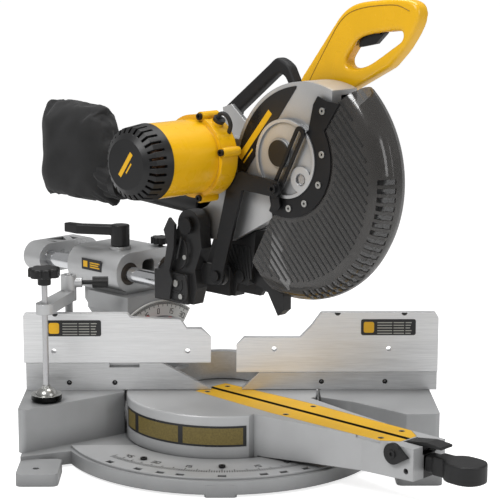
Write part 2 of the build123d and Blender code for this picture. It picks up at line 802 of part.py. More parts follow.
# ---- head casting and belt cover ----------------------------------------------------------------
ARC = 138
CAVITY_R = 131
FRONT_EDGE = 243


def guard_face():
    """Face of the fixed upper guard and its arm, in a side plane."""
    with Locations(ARBOR):
        Circle(ARC)
    outline((30, 292), (110, 322), (162, 322), (FRONT_EDGE, 400), (FRONT_EDGE, 500), (30, 500),
            mode=Mode.INTERSECT)
    outline((-32, 276), (-4, 290), (58, 352), (120, 340), (131, 286), (49, 243), (-12, 240))
    with Locations(HEAD_PIVOT):
        Circle(22)


def belt_run(small, large):
    """Face round the two pulleys of the belt drive."""
    across = (MOTOR[0] - ARBOR[0], MOTOR[1] - ARBOR[1])
    length = sqrt(across[0] ** 2 + across[1] ** 2)
    normal = (-across[1] / length, across[0] / length)
    with Locations(ARBOR):
        Circle(large)
    with Locations(MOTOR):
        Circle(small)
    outline((ARBOR[0] + normal[0] * large, ARBOR[1] + normal[1] * large),
            (MOTOR[0] + normal[0] * small, MOTOR[1] + normal[1] * small),
            (MOTOR[0] - normal[0] * small, MOTOR[1] - normal[1] * small),
            (ARBOR[0] - normal[0] * large, ARBOR[1] - normal[1] * large))


with BuildPart() as head_casting:
    with BuildSketch(side(RIGHT_WALL[0])):
        guard_face()
    extrude(amount=COVER[0] - RIGHT_WALL[0])
    with BuildSketch(side(4)):
        belt_run(26, 40)
    extrude(amount=COVER[0] - 4)
    with BuildSketch(side(RIGHT_WALL[1])):  # room for the blade
        with Locations(ARBOR):
            Circle(CAVITY_R)
    extrude(amount=MIDDLE_WALL[0] - RIGHT_WALL[1], mode=Mode.SUBTRACT)
    with BuildSketch(side(BELT_SPACE[0])):
        belt_run(20, 41)
    extrude(amount=BELT_SPACE[1] - BELT_SPACE[0] + 1, mode=Mode.SUBTRACT)
    disc(4, 7, ARBOR, 18)
    disc(RIGHT_WALL[0] - 7, 7, GUARD_HUB, HUB_R, HUB_R - 7)
    with BuildSketch(side(-50)):
        with Locations(ARBOR):
            Circle(23)
    extrude(amount=29, mode=Mode.SUBTRACT)
    with BuildSketch(side(3.9)):
        with Locations(ARBOR):
            Circle(14)
    extrude(amount=8, mode=Mode.SUBTRACT)
    with BuildSketch(side(-30)):
        with Locations(HEAD_PIVOT):
            Circle(8 + FIT)
    extrude(amount=60, mode=Mode.SUBTRACT)
    with BuildSketch(side(-18)):  # dust passage through the arm
        outline((-60, 268), (-60, 292), (20, 316), (90, 300), (90, 262), (30, 262))
    extrude(amount=24, mode=Mode.SUBTRACT)
save(head_casting, "head_casting")

with BuildPart() as belt_cover:
    with BuildSketch(side(COVER[0])):
        guard_face()
        belt_run(26, 40)
    extrude(amount=COVER[1] - COVER[0])
    disc(COVER[1], 9, GUARD_HUB, HUB_R)
    with BuildSketch(side(COVER[1])):
        with Locations(MOTOR):
            Circle(25)
    extrude(amount=22)
    with BuildSketch(side(32.5)):
        with Locations(GUARD_HUB):
            Circle(HUB_R - 5)
        with Locations(ARBOR):
            Circle(19, mode=Mode.SUBTRACT)
        with Locations((151, 384)):
            Circle(21, mode=Mode.SUBTRACT)
    extrude(amount=4, mode=Mode.SUBTRACT)
    with BuildSketch(side(20)):
        with Locations(ARBOR):
            Circle(9)
        with Locations(HEAD_PIVOT):
            Circle(8 + FIT)
        with Locations(MOTOR):
            Circle(7)
    extrude(amount=40, mode=Mode.SUBTRACT)
    with BuildSketch(side(COVER[0] + 1)):
        with Locations(ARBOR):
            Circle(14)
    extrude(amount=8, mode=Mode.SUBTRACT)
    with BuildSketch(side(38)):
        with Locations(MOTOR):
            Circle(14)
    extrude(amount=12, mode=Mode.SUBTRACT)
save(belt_cover, "belt_cover")

with BuildPart() as side_panel:
    with BuildSketch(side(COVER[1])):
        with Locations(ARBOR):
            Circle(ARC - 6)
        outline((56, 318), (62, 330), (176, 478), (178, 500), (30, 500), (30, 318), mode=Mode.INTERSECT)
        with Locations(GUARD_HUB):
            Circle(HUB_R + 0.5, mode=Mode.SUBTRACT)
    extrude(amount=1)

with BuildPart() as arbor_plug:
    disc(36, 2, (151, 384), 19)
save_group([side_panel, arbor_plug], "cover_trim")

# ---- spindle, blade, belt drive -----------------------------------------------------------------
PULLEY_R = 36
PINION_R = 12
BELT_T = 3
with BuildPart() as spindle:
    disc(3.9, 30.1, ARBOR, 6)
    disc(-BLADE_T / 2, BLADE_T / 2 + 3.9, ARBOR, ARBOR_R - 0.1)
    disc(-10, 10, ARBOR, 4)
    disc(1.25, 2.5, ARBOR, 11)

TEETH = 40
with BuildPart() as blade:
    with BuildSketch(side(-BLADE_T / 2)):
        with Locations(ARBOR):
            Circle(BLADE_R - 6)
        for index in range(TEETH):
            start = 360 / TEETH * index
            tip = polar(ARBOR, BLADE_R, start + 5.5)
            outline(polar(ARBOR, BLADE_R - 7, start), polar(ARBOR, BLADE_R - 1.2, start + 2), tip,
                    polar(ARBOR, BLADE_R - 8.5, start + 5), polar(ARBOR, BLADE_R - 20, start + 2.5))
        with Locations(ARBOR):
            Circle(ARBOR_R - 0.05, mode=Mode.SUBTRACT)
    extrude(amount=BLADE_T)
save(blade, "blade")

with BuildPart() as blade_flange:
    disc(-BLADE_T / 2 - 4, 4, ARBOR, 20, 4)

with BuildPart() as blade_bolt:
    with BuildSketch(side(-15)):
        with Locations(ARBOR):
            RegularPolygon(9, 6)
    extrude(amount=7)
    disc(-8, 8 - BLADE_T / 2 - 4, ARBOR, 10)
    with BuildSketch(side(-10)):
        with Locations(ARBOR):
            Circle(4)
    extrude(amount=10, mode=Mode.SUBTRACT)
save_group([blade_flange, blade_bolt], "blade_bolt")

with BuildPart() as drive_pulley:
    disc(12.5, 9, ARBOR, PULLEY_R - BELT_T, 6)
    disc(12, 0.8, ARBOR, PULLEY_R, 6)
    disc(21.2, 0.8, ARBOR, PULLEY_R, 6)
save_group([spindle, drive_pulley], "spindle")

with BuildPart() as motor_pulley:
    disc(12.5, 9, MOTOR, PINION_R, 4)
    disc(12, 0.5, MOTOR, PINION_R + 3, 4)
    disc(21.5, 0.5, MOTOR, PINION_R + 3, 4)

with BuildPart() as drive_belt:
    with BuildSketch(side(13.3)):
        belt_run(PINION_R + BELT_T - 0.2, PULLEY_R + 0.2)
    extrude(amount=7.4)
    with BuildSketch(side(13.2)):
        belt_run(PINION_R + RUN, PULLEY_R - BELT_T + RUN)
    extrude(amount=7.6, mode=Mode.SUBTRACT)
save(drive_belt, "drive_belt")

with BuildPart() as spindle_bearings:
    disc(3.9 + 0.1, 7, ARBOR, 14, 6 + FIT)
    disc(24.1, 7.9, ARBOR, 14, 6 + FIT)

# ---- motor --------------------------------------------------------------------------------------
BODY = (49, 170)
CAP_END = 212
MOTOR_R = 54.5
with BuildPart() as motor_housing:
    disc(BODY[0], 32, MOTOR, 61, 50)
    disc(BODY[0], 4, MOTOR, 61, 15)
    disc(BODY[0] + 30, BODY[1] - BODY[0] - 30, MOTOR, MOTOR_R, 50)
    for angle in (74, 10, -76, 170):
        disc(BODY[0], 33, polar(MOTOR, 62, angle), 7)
    with BuildSketch(side(BODY[0] + 4)):
        with Locations(MOTOR):
            Circle(50)
    extrude(amount=40, mode=Mode.SUBTRACT)
    for angle in (55, 235):
        radial = Plane(origin=point(*polar(MOTOR, 48, angle), 65), x_dir=LEFT,
                       z_dir=OUT * cos(radians(angle)) + UP * sin(radians(angle)))
        with BuildSketch(radial):
            Circle(8.5)
        extrude(amount=17)
        with BuildSketch(radial):
            Circle(6)
        extrude(amount=30, both=True, mode=Mode.SUBTRACT)
save(motor_housing, "motor_housing")

with BuildPart() as brush_caps:
    for angle in (55, 235):
        radial = Plane(origin=point(*polar(MOTOR, 65, angle), 65), x_dir=LEFT,
                       z_dir=OUT * cos(radians(angle)) + UP * sin(radians(angle)))
        with BuildSketch(radial):
            Circle(9)
            Rectangle(12, 2, mode=Mode.SUBTRACT)
        extrude(amount=5)
        with BuildSketch(radial):
            Circle(6)
        extrude(amount=-10)
        with BuildSketch(radial):
            Circle(8.8)
        extrude(amount=2.5)

with BuildPart() as brushes:
    for angle in (55, 235):
        radial = Plane(origin=point(*polar(MOTOR, 55, angle), 65), x_dir=LEFT,
                       z_dir=OUT * cos(radians(angle)) + UP * sin(radians(angle)))
        with BuildSketch(radial):
            Rectangle(8, 6)
        extrude(amount=-38.5)
save_group([brush_caps, brushes], "brushes")

with BuildPart() as motor_cap:
    with BuildSketch(side(BODY[1])):
        with Locations(MOTOR):
            Circle(55.5)
    with BuildSketch(side(CAP_END - 12)):
        with Locations(MOTOR):
            Circle(52)
    loft()
    with BuildSketch(side(CAP_END - 12)):
        with Locations(MOTOR):
            Circle(52)
    with BuildSketch(side(CAP_END)):
        with Locations(MOTOR):
            Circle(36)
    loft()
    with BuildSketch(side(BODY[1] - 1)):
        with Locations(MOTOR):
            Circle(48.5)
    extrude(amount=CAP_END - BODY[1] - 16, mode=Mode.SUBTRACT)
    disc(CAP_END - 22, 10, MOTOR, 14, 9)
    with BuildSketch(side(BODY[1] + 12)):
        with Locations(MOTOR):
            with PolarLocations(50, 28):
                Rectangle(26, 4)
    extrude(amount=24, mode=Mode.SUBTRACT)
save(motor_cap, "motor_cap")

with BuildPart() as armature:
    disc(12, 182, MOTOR, 4)
    disc(56, 18, MOTOR, 15, 4)
    disc(82, 54, MOTOR, 28, 4)
    disc(78, 4, MOTOR, 22, 4)
    disc(136, 4, MOTOR, 22, 4)

with BuildPart() as cooling_fan:
    disc(152, 2, MOTOR, 44, 4)
    with BuildSketch(side(153)):
        with Locations(MOTOR):
            with PolarLocations(30, 12):
                Rectangle(24, 2)
    extrude(amount=9)
    disc(152, 10, MOTOR, 12, 4)
save_group([armature, cooling_fan, motor_pulley], "armature")

with BuildPart() as stator:
    disc(80, 58, MOTOR, 49.9, 29)
    with BuildSketch(side(79)):
        with Locations(MOTOR):
            with PolarLocations(45, 8):
                Rectangle(8, 10)
    extrude(amount=60, mode=Mode.SUBTRACT)
save(stator, "stator")

with BuildPart() as motor_bearings:
    disc(38, 10.9, MOTOR, 14, 4 + FIT)
    disc(CAP_END - 22, 5, MOTOR, 9, 4 + FIT)
save_group([spindle_bearings, motor_bearings], "bearings")

motor_places = []
for angle in (74, 10, -76, 170):
    motor_places.append(Plane(origin=point(*polar(MOTOR, 62, angle), BODY[0] + 33), x_dir=OUT, z_dir=LEFT))
save(socket_screws(motor_places, 5, 4), "motor_screws")

# ---- handles ------------------------------------------------------------------------------------
FRAME = (-41, -34)
with BuildPart() as handle_frame:
    with BuildSketch(side(FRAME[0])):
        outline((14, 283), (4, 304), (16, 360), (-28, 404), (-32, 432), (-14, 438), (34, 400), (96, 474),
                (205, 476), (196, 452), (118, 448), (74, 396), (72, 330), (38, 281))
    extrude(amount=FRAME[1] - FRAME[0])
    for place in ((58, 336), (18, 292)):
        disc(FRAME[1], RIGHT_WALL[0] - FRAME[1], place, 13)
save(handle_frame, "handle_frame")

HANDLE = (-66, -41)
TRIGGER_PIVOT = (265, 556)
PIN_R = 2
GRIP_MID = (HANDLE[0] + HANDLE[1]) / 2


def handle_face():
    """Face of the D-shaped main handle with its hand opening."""
    with BuildLine(mode=Mode.PRIVATE) as rim:
        Polyline((118, 462), (120, 484), (190, 572))
        Spline((190, 572), (215, 592), (262, 601), (312, 604), (334, 596), (337, 578), (326, 554), (310, 532),
               tangents=((0.65, 0.76), (-0.6, -0.8)))
        Polyline((310, 532), (286, 508), (212, 470), (196, 458), (118, 462))
    make_face(rim.edges())
    with BuildLine(mode=Mode.PRIVATE) as opening:
        Polyline((206, 516), (225, 541))
        Spline((225, 541), (262, 554), (306, 560), tangents=((0.75, 0.66), (1, 0.05)))
        Spline((306, 560), (310, 552), (294, 538), tangents=((1, 0), (-0.8, -0.6)))
        Polyline((294, 538), (262, 518))
        Spline((262, 518), (234, 506), (206, 516), tangents=((-0.9, -0.5), (0.1, 0.9)))
    make_face(opening.edges(), mode=Mode.SUBTRACT)


for name, low, high in (("right_handle_shell", HANDLE[0], GRIP_MID), ("left_handle_shell", GRIP_MID, HANDLE[1])):
    with BuildPart() as shell:
        with BuildSketch(side(low)):
            handle_face()
        extrude(amount=high - low)
        with BuildSketch(side(GRIP_MID - 5)):
            outline((222, 530), (222, 562), (276, 566), (276, 545), (262, 530))
        extrude(amount=10, mode=Mode.SUBTRACT)
        if high == HANDLE[1]:
            disc(GRIP_MID - 5, 11, TRIGGER_PIVOT, PIN_R)
    save(shell, name)

with BuildPart() as trigger:
    with BuildSketch(side(GRIP_MID - 4.5)):
        outline((226, 534), (228, 556), (272, 561), (273, 556), (256, 540))
        with Locations(TRIGGER_PIVOT):
            Circle(PIN_R + FIT, mode=Mode.SUBTRACT)
    extrude(amount=9)
save(trigger, "trigger")

with BuildPart() as carry_handle:
    with BuildSketch(side(-60)):
        with BuildLine():
            Polyline((-30, 420), (-34, 434), (54, 500))
            Spline((54, 500), (74, 512), (94, 504), (111, 478), tangents=((0.8, 0.6), (0.5, -0.85)))
            Polyline((111, 478), (97, 470))
            Spline((97, 470), (88, 484), (79, 488), (66, 482), tangents=((-0.5, 0.85), (-0.8, -0.6)))
            Polyline((66, 482), (-12, 422), (-16, 408), (-30, 420))
        make_face()
    extrude(amount=19)
    long_edges = carry_handle.edges().filter_by(lambda edge: edge.length > 60)
    fillet(long_edges, 5)
save(carry_handle, "carry_handle")

# ---- lower guard --------------------------------------------------------------------------------
def shell_face(radius):
    """Side face of the lower guard."""
    with Locations(SHELL):
        Circle(radius)
    outline((145, 160), (94, 219), (130, 285), (150, 305), GUARD_HUB, (222, 436), (274, 476), (300, 500),
            (420, 500), (420, 100), (145, 100), mode=Mode.INTERSECT)
    with Locations(GUARD_HUB):
        Circle(HUB_R + 6)


with BuildPart() as lower_guard:
    with BuildSketch(side(-GUARD_PLATE[1])):
        shell_face(SHELL_R)
    extrude(amount=2 * GUARD_PLATE[1])
    with BuildSketch(side(-GUARD_PLATE[0])):
        with Locations(SHELL):
            Circle(SHELL_R - 3)
        with Locations((20, 220)):
            Rectangle(240, 200)
    extrude(amount=2 * GUARD_PLATE[0], mode=Mode.SUBTRACT)
    with BuildSketch(side(-60)):
        with Locations(GUARD_HUB):
            Circle(HUB_R + RUN)
    extrude(amount=120, mode=Mode.SUBTRACT)
    for index in range(15):  # vent slots through the rim
        angle = 0 - index * 5
        slot = Plane(origin=point(*polar(SHELL, SHELL_R, angle), -17), x_dir=LEFT,
                     z_dir=OUT * cos(radians(angle)) + UP * sin(radians(angle)))
        with BuildSketch(slot):
            Rectangle(17, 7)
        extrude(amount=-8, mode=Mode.SUBTRACT)
save(lower_guard, "lower_guard")

with BuildPart() as guard_ring:
    with BuildSketch(side(GUARD_PLATE[1])):
        with Locations(GUARD_HUB):
            Circle(85)
            Circle(HUB_R + RUN, mode=Mode.SUBTRACT)
        outline(GUARD_HUB, polar(GUARD_HUB, 200, -112), (500, 100), (500, 600), polar(GUARD_HUB, 200, 46),
                mode=Mode.INTERSECT)
        outline((206, 424), (214, 458), (222, 470), (240, 464), (262, 462), (240, 430), (228, 415))
    extrude(amount=2.5)
save(guard_ring, "guard_ring")

rivet_places = [(232, 450)]
for angle in (10, -26, -58, -84):
    rivet_places.append(polar(GUARD_HUB, 71, angle))
with BuildPart() as guard_rivets:
    for place in rivet_places:
        with BuildSketch(side(GUARD_PLATE[1] + 2.5)):
            with Locations(place):
                Circle(5)
                Circle(1.8, mode=Mode.SUBTRACT)
        extrude(amount=2)
save(guard_rivets, "guard_rivets")

ARM_FOOT = polar(GUARD_HUB, 68, -100)
with BuildPart() as slotted_arm:
    with BuildSketch(side(38.5)):
        with Locations(Location(((LINK_PIN[0] + 195) / 2, (LINK_PIN[1] + 418) / 2), 62)):
            SlotOverall(112, 18)
            SlotOverall(98, 8, mode=Mode.SUBTRACT)
        with Locations(ARM_FOOT):
            Circle(8)
        outline((140, 331), (142, 310), (158, 310), (155, 325), (147, 327))
    extrude(amount=3)
    disc(GUARD_PLATE[1] + 2.5, 4.5, ARM_FOOT, 5)
save(slotted_arm, "slotted_arm")

# ---- guard link ---------------------------------------------------------------------------------
with BuildPart() as guard_link:
    with BuildSketch(side(42)):
        outline((22, 196), (62, 346), (84, 352), (150, 346), (152, 322), (88, 326), (46, 188))
        with Locations(LINK_PIVOT):
            Circle(13)
            Circle(5 + FIT, mode=Mode.SUBTRACT)
        with Locations(LINK_PIN):
            Circle(12)
    extrude(amount=5)

with BuildPart() as link_screw:
    with BuildSketch(side(47)):
        with Locations(LINK_PIN):
            Circle(7)
            RegularPolygon(3.5, 6, mode=Mode.SUBTRACT)
    extrude(amount=4)
save_group([guard_link, link_screw], "guard_link")

with BuildPart() as link_pivot_pin:
    disc(35, 12.4, LINK_PIVOT, 5)
    disc(47.4, 3, LINK_PIVOT, 8)
save_group([pivot_pin, link_pivot_pin], "pivot_pins")

# ---- dust path ----------------------------------------------------------------------------------
with BuildPart() as dust_chute:
    with BuildSketch(side(-18)):
        outline((4, 240.3), (49, 242.7), (88, 260.5), (84, 212), (72, 178), (48, 178), (20, 226))
    extrude(amount=36)
    for index in range(7):  # stiffening ribs
        with BuildSketch(side(18)):
            outline((20 + 9 * index, 236), (24 + 9 * index, 236), (52 + 5 * index, 188), (48 + 5 * index, 188))
        extrude(amount=1.5)
    disc(18, 4, (58, 190), 9)

with BuildPart() as dust_flap:
    with BuildSketch(side(-8)):
        outline((73, 180), (84, 210), (104, 196), (136, 170), (136, 148), (124, 138), (104, 170))
    extrude(amount=16)
save_group([dust_chute, dust_flap], "dust_chute")

SPOUT_R = 17
with BuildPart() as dust_spout:
    with BuildSketch(facing(-39)):
        with Locations((0, 284)):
            Circle(SPOUT_R)
            Circle(SPOUT_R - 3, mode=Mode.SUBTRACT)
    with BuildSketch(facing(-225)):
        with Locations((0, 300)):
            Circle(SPOUT_R + 4)
            Circle(SPOUT_R + 1, mode=Mode.SUBTRACT)
    loft()

with BuildPart() as bag_collar:
    with BuildSketch(facing(-232)):
        with Locations((0, 300.5)):
            Circle(27)
            Circle(21.5, mode=Mode.SUBTRACT)
    extrude(amount=14)
save_group([dust_spout, bag_collar], "dust_spout")

with BuildPart() as dust_bag:
    with BuildSketch(side(-42)):
        outline((-232, 262), (-410, 258), (-420, 300), (-408, 424), (-262, 424), (-232, 350))
    extrude(amount=84)
    fillet(dust_bag.edges(), 14)
save(dust_bag, "dust_bag")
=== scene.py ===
import json
from math import cos, pi, radians, sin

import bmesh
import bpy
from mathutils import Matrix, Vector, noise


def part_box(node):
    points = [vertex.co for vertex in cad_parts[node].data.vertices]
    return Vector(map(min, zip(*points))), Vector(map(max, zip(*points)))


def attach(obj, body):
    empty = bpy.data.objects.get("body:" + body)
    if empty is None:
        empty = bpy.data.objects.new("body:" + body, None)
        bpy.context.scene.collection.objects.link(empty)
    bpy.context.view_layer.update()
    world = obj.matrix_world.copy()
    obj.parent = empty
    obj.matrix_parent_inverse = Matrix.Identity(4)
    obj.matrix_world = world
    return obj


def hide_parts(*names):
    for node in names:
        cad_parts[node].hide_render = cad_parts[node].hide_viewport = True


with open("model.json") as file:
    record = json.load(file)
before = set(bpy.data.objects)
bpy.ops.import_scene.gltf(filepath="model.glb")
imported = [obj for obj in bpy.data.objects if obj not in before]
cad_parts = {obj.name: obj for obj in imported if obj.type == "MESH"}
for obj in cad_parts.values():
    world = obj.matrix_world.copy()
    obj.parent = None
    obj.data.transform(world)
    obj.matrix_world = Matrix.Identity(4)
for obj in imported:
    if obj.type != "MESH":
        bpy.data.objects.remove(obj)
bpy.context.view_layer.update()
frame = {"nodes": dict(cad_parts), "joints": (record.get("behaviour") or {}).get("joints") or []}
nodes = frame["nodes"]
joints = {joint["name"]: joint for joint in frame["joints"]}

# ---- the arm's own directions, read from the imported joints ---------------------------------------
OUT = Vector(joints["slide"]["axis"])
LEFT = Vector(joints["blade_spin"]["axis"])
UP = Vector((0, 0, 1))
PIVOT = Vector((joints["mitre"]["pos_m"][0], joints["mitre"]["pos_m"][1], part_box("kerf_plates")[1].z))
MM = 0.001
SQUARE = ((-1, -1), (1, -1), (1, 1), (-1, 1))  # signs of a plate's corners, in order


def at(reach, height, left=0.0):
    """Point in the arm's own directions, millimetres from the mitre pivot on the table."""
    return PIVOT + OUT * (reach * MM) + UP * (height * MM) + LEFT * (left * MM)


def at_table(x, y, height):
    """Point square to the fence, millimetres from the mitre pivot on the table."""
    return PIVOT + Vector((x, y, height)) * MM


def extent(name, *axes):
    """Lowest and highest of a CAD node along each axis, millimetres from the mitre pivot on the table."""
    places = [nodes[name].matrix_world @ v.co - PIVOT for v in nodes[name].data.vertices]
    return [(min(p.dot(axis) for p in places) / MM, max(p.dot(axis) for p in places) / MM) for axis in axes]


# ---- materials -----------------------------------------------------------------------------------
class Graph:
    """Small helper that wires one material's nodes."""

    def __init__(self, name):
        self.material = bpy.data.materials.new(name)
        self.material.use_nodes = True
        self.tree = self.material.node_tree
        self.shader = self.tree.nodes["Principled BSDF"]
        self.where = self.tree.nodes.new("ShaderNodeTexCoord").outputs["Object"]

    def add(self, kind, **inputs):
        node = self.tree.nodes.new(kind)
        for key, value in inputs.items():
            socket = node.inputs[key.replace("_", " ")]
            if isinstance(value, bpy.types.NodeSocket):
                self.tree.links.new(value, socket)
            else:
                socket.default_value = value
        return node

    def stretched(self, scale, turn=0.0):
        mapping = self.add("ShaderNodeMapping", Vector=self.where)
        mapping.inputs["Rotation"].default_value = (0, 0, turn)
        mapping.inputs["Scale"].default_value = scale
        return mapping.outputs["Vector"]

    def noise(self, scale, detail=4.0, where=None, rough=0.55):
        node = self.add("ShaderNodeTexNoise", Vector=where or self.where, Scale=scale, Detail=detail, Roughness=rough)
        return node.outputs["Fac"]

    def spread(self, value, low, high, from_low=0.3, from_high=0.7):
        node = self.add("ShaderNodeMapRange", Value=value)
        node.inputs["From Min"].default_value = from_low
        node.inputs["From Max"].default_value = from_high
        node.inputs["To Min"].default_value = low
        node.inputs["To Max"].default_value = high
        return node.outputs["Result"]

    def mix(self, factor, first, second):
        node = self.tree.nodes.new("ShaderNodeMix")
        node.data_type = "RGBA"
        for socket, value in ((node.inputs[0], factor), (node.inputs[6], first), (node.inputs[7], second)):
            if isinstance(value, bpy.types.NodeSocket):
                self.tree.links.new(value, socket)
            else:
                socket.default_value = value
        return node.outputs[2]

    def math(self, operation, first, second=0.0):
        node = self.tree.nodes.new("ShaderNodeMath")
        node.operation = operation
        for socket, value in ((node.inputs[0], first), (node.inputs[1], second)):
            if isinstance(value, bpy.types.NodeSocket):
                self.tree.links.new(value, socket)
            else:
                socket.default_value = value
        return node.outputs[0]

    def bump(self, height, strength, distance, edge=0.0):
        node = self.add("ShaderNodeBump", Height=height, Strength=strength, Distance=distance)
        if edge:
            rounded = self.tree.nodes.new("ShaderNodeBevel")
            rounded.samples = 4
            rounded.inputs["Radius"].default_value = edge
            self.tree.links.new(rounded.outputs["Normal"], node.inputs["Normal"])
        self.tree.links.new(node.outputs["Normal"], self.shader.inputs["Normal"])

    def set(self, **values):
        for key, value in values.items():
            socket = self.shader.inputs[key.replace("_", " ")]
            if isinstance(value, bpy.types.NodeSocket):
                self.tree.links.new(value, socket)
            else:
                socket.default_value = value


def shade(colour, factor):
    return (colour[0] * factor, colour[1] * factor, colour[2] * factor, 1.0)


def surface(name, colour, rough, metal=0.0, vary=0.08, grain=900.0, depth=0.00015, strength=0.25, edge=0.0012,
            rough_spread=0.08, coat=0.0, sheen=0.0, specular=0.5, mottle=14.0, painted_corner_shade=0.0):
    """Painted, moulded or cast surface: fine grain in the bump, slowly varying colour and gloss, painted shade
    darkening the colour in corners.
    """
    graph = Graph(name)
    slow = graph.noise(mottle, 3.0)
    fine = graph.noise(grain, 3.0)
    paint = graph.mix(graph.spread(slow, 0.0, 1.0), shade(colour, 1 - vary), shade(colour, 1 + vary))
    # painted shade: ambient occlusion darkens the colour in corners, creases and recesses
    if painted_corner_shade:
        corner = graph.tree.nodes.new("ShaderNodeAmbientOcclusion")
        corner.samples = 6
        corner.inputs["Distance"].default_value = 0.035
        corner_shade_share = graph.math("MULTIPLY", graph.math("SUBTRACT", 1.0, corner.outputs["AO"]), painted_corner_shade)
        paint = graph.mix(corner_shade_share, paint, shade(colour, 0.12))
    graph.set(Base_Color=paint,
              Roughness=graph.spread(slow, rough - rough_spread, rough + rough_spread), Metallic=metal,
              Coat_Weight=coat, Sheen_Weight=sheen, Specular_IOR_Level=specular)
    graph.shader.inputs["Coat Roughness"].default_value = 0.12
    graph.bump(fine, strength, depth, edge)
    return graph.material


def brushed(name, colour, rough, along, turn=0.0, metal=1.0, vary=0.12, edge=0.001, fine=900.0, depth=0.00006):
    """Metal with long fine streaks; along is the scale per axis, small along the streaks."""
    graph = Graph(name)
    where = graph.stretched(along, turn)
    streak = graph.noise(fine, 3.0, where)
    broad = graph.noise(fine * 0.12, 2.0, where)
    both = graph.math("ADD", graph.math("MULTIPLY", streak, 0.6), graph.math("MULTIPLY", broad, 0.4))
    tone = graph.spread(both, 0.0, 1.0, 0.35, 0.65)
    graph.set(Base_Color=graph.mix(tone, shade(colour, 1 - vary), shade(colour, 1 + vary)),
              Roughness=graph.spread(both, rough - 0.1, rough + 0.12, 0.35, 0.65), Metallic=metal)
    graph.bump(streak, 0.35, depth, edge)
    return graph.material


# the castings, paints, zinc plating and yellow plastic below get painted shade in their corners
cast_grey = surface("cast_grey_paint", (0.39, 0.395, 0.40), 0.42, metal=0.2, vary=0.07, grain=520,
                    depth=0.0003, strength=0.35, edge=0.0022, painted_corner_shade=0.9)
deck_grey = surface("turntable_paint", (0.50, 0.505, 0.51), 0.38, metal=0.2, vary=0.06, grain=700,
                    depth=0.0002, strength=0.25, edge=0.0018, painted_corner_shade=0.9)
fence_metal = brushed("fence_brushed_aluminium", (0.82, 0.825, 0.83), 0.38, (0.035, 1, 1), metal=0.6, vary=0.1)
fence_cast = brushed("fixed_fence_aluminium", (0.60, 0.605, 0.61), 0.42, (0.05, 1, 1), metal=0.75, vary=0.12)
silver = surface("silver_head_paint", (0.57, 0.575, 0.58), 0.34, metal=0.55, vary=0.05, grain=650,
                 depth=0.0002, strength=0.25, edge=0.0018, painted_corner_shade=1.0)
dark_cast = surface("dark_casting", (0.030, 0.030, 0.031), 0.4, metal=0.3, vary=0.12, grain=520, depth=0.0003,
                    strength=0.35)
chrome = brushed("chromed_rail", (0.80, 0.81, 0.83), 0.14, (0.04, 1, 1), turn=radians(45), metal=1.0,
                 vary=0.04, edge=0.0008, depth=0.00002)
steel = brushed("turned_steel", (0.56, 0.56, 0.57), 0.3, (1, 1, 0.08), metal=1.0, vary=0.1)
zinc = surface("zinc_plated_steel", (0.52, 0.52, 0.50), 0.32, metal=0.9, vary=0.1, grain=1400, depth=0.00008,
               edge=0.0008, painted_corner_shade=0.8)
black_steel = surface("black_oxide_steel", (0.022, 0.022, 0.023), 0.36, metal=0.6, vary=0.2, grain=1200,
                      depth=0.0001, edge=0.0009)
yellow = surface("yellow_plastic", (0.88, 0.48, 0.004), 0.27, vary=0.04, grain=1100, depth=0.00014,
                 strength=0.3, edge=0.0025, coat=0.15, painted_corner_shade=0.35)
shell_line = surface("moulded_line", (0.30, 0.15, 0.003), 0.5, vary=0.05, edge=0.0)
yellow_plate = surface("yellow_kerf_plastic", (0.84, 0.47, 0.004), 0.4, vary=0.05, grain=900, depth=0.0001, edge=0.0006)
black = surface("black_plastic", (0.012, 0.012, 0.0125), 0.38, specular=0.4, vary=0.2, grain=1100,
                depth=0.00018, strength=0.4, edge=0.0014)
soft_black = surface("soft_grip_black", (0.013, 0.013, 0.014), 0.55, specular=0.35, vary=0.12, grain=1500,
                     depth=0.00025, strength=0.5, edge=0.002)
rubber = surface("belt_rubber", (0.018, 0.018, 0.018), 0.7, vary=0.15, grain=1200)
bush_dark = surface("bush_dark", (0.05, 0.04, 0.032), 0.4, metal=0.5, vary=0.15)
copper = surface("armature_iron_copper", (0.36, 0.22, 0.14), 0.42, metal=0.8, vary=0.2)
scale_white = surface("scale_plate_white", (0.62, 0.62, 0.60), 0.4, vary=0.04, edge=0.0004)
red = surface("red_pointer", (0.55, 0.015, 0.01), 0.35, vary=0.05, edge=0.0006)
label_black = surface("label_black", (0.012, 0.012, 0.013), 0.3, vary=0.1, edge=0.0003)
label_yellow = surface("label_yellow", (0.82, 0.45, 0.01), 0.35, vary=0.04, edge=0.0003)
label_field = surface("label_field", (0.16, 0.12, 0.03), 0.45, vary=0.25, mottle=400.0, edge=0.0)
label_grey = surface("label_print", (0.42, 0.42, 0.38), 0.5, vary=0.05, edge=0.0)


def smoked(name, colour, alpha, rough):
    """Smoked clear plastic, mottled slightly by wear."""
    graph = Graph(name)
    slow = graph.noise(18.0, 3.0)
    graph.set(Base_Color=graph.mix(graph.spread(slow, 0.0, 1.0), shade(colour, 0.85), shade(colour, 1.2)),
              Roughness=graph.spread(slow, rough - 0.04, rough + 0.06), Alpha=alpha, Specular_IOR_Level=0.7)
    graph.shader.inputs["Coat Weight"].default_value = 0.3
    graph.shader.inputs["Coat Roughness"].default_value = 0.08
    return graph.material


guard_clear = smoked("smoked_guard", (0.042, 0.039, 0.036), 0.72, 0.12)
guard_rib = smoked("smoked_guard_rib", (0.006, 0.006, 0.0055), 1.0, 0.2)

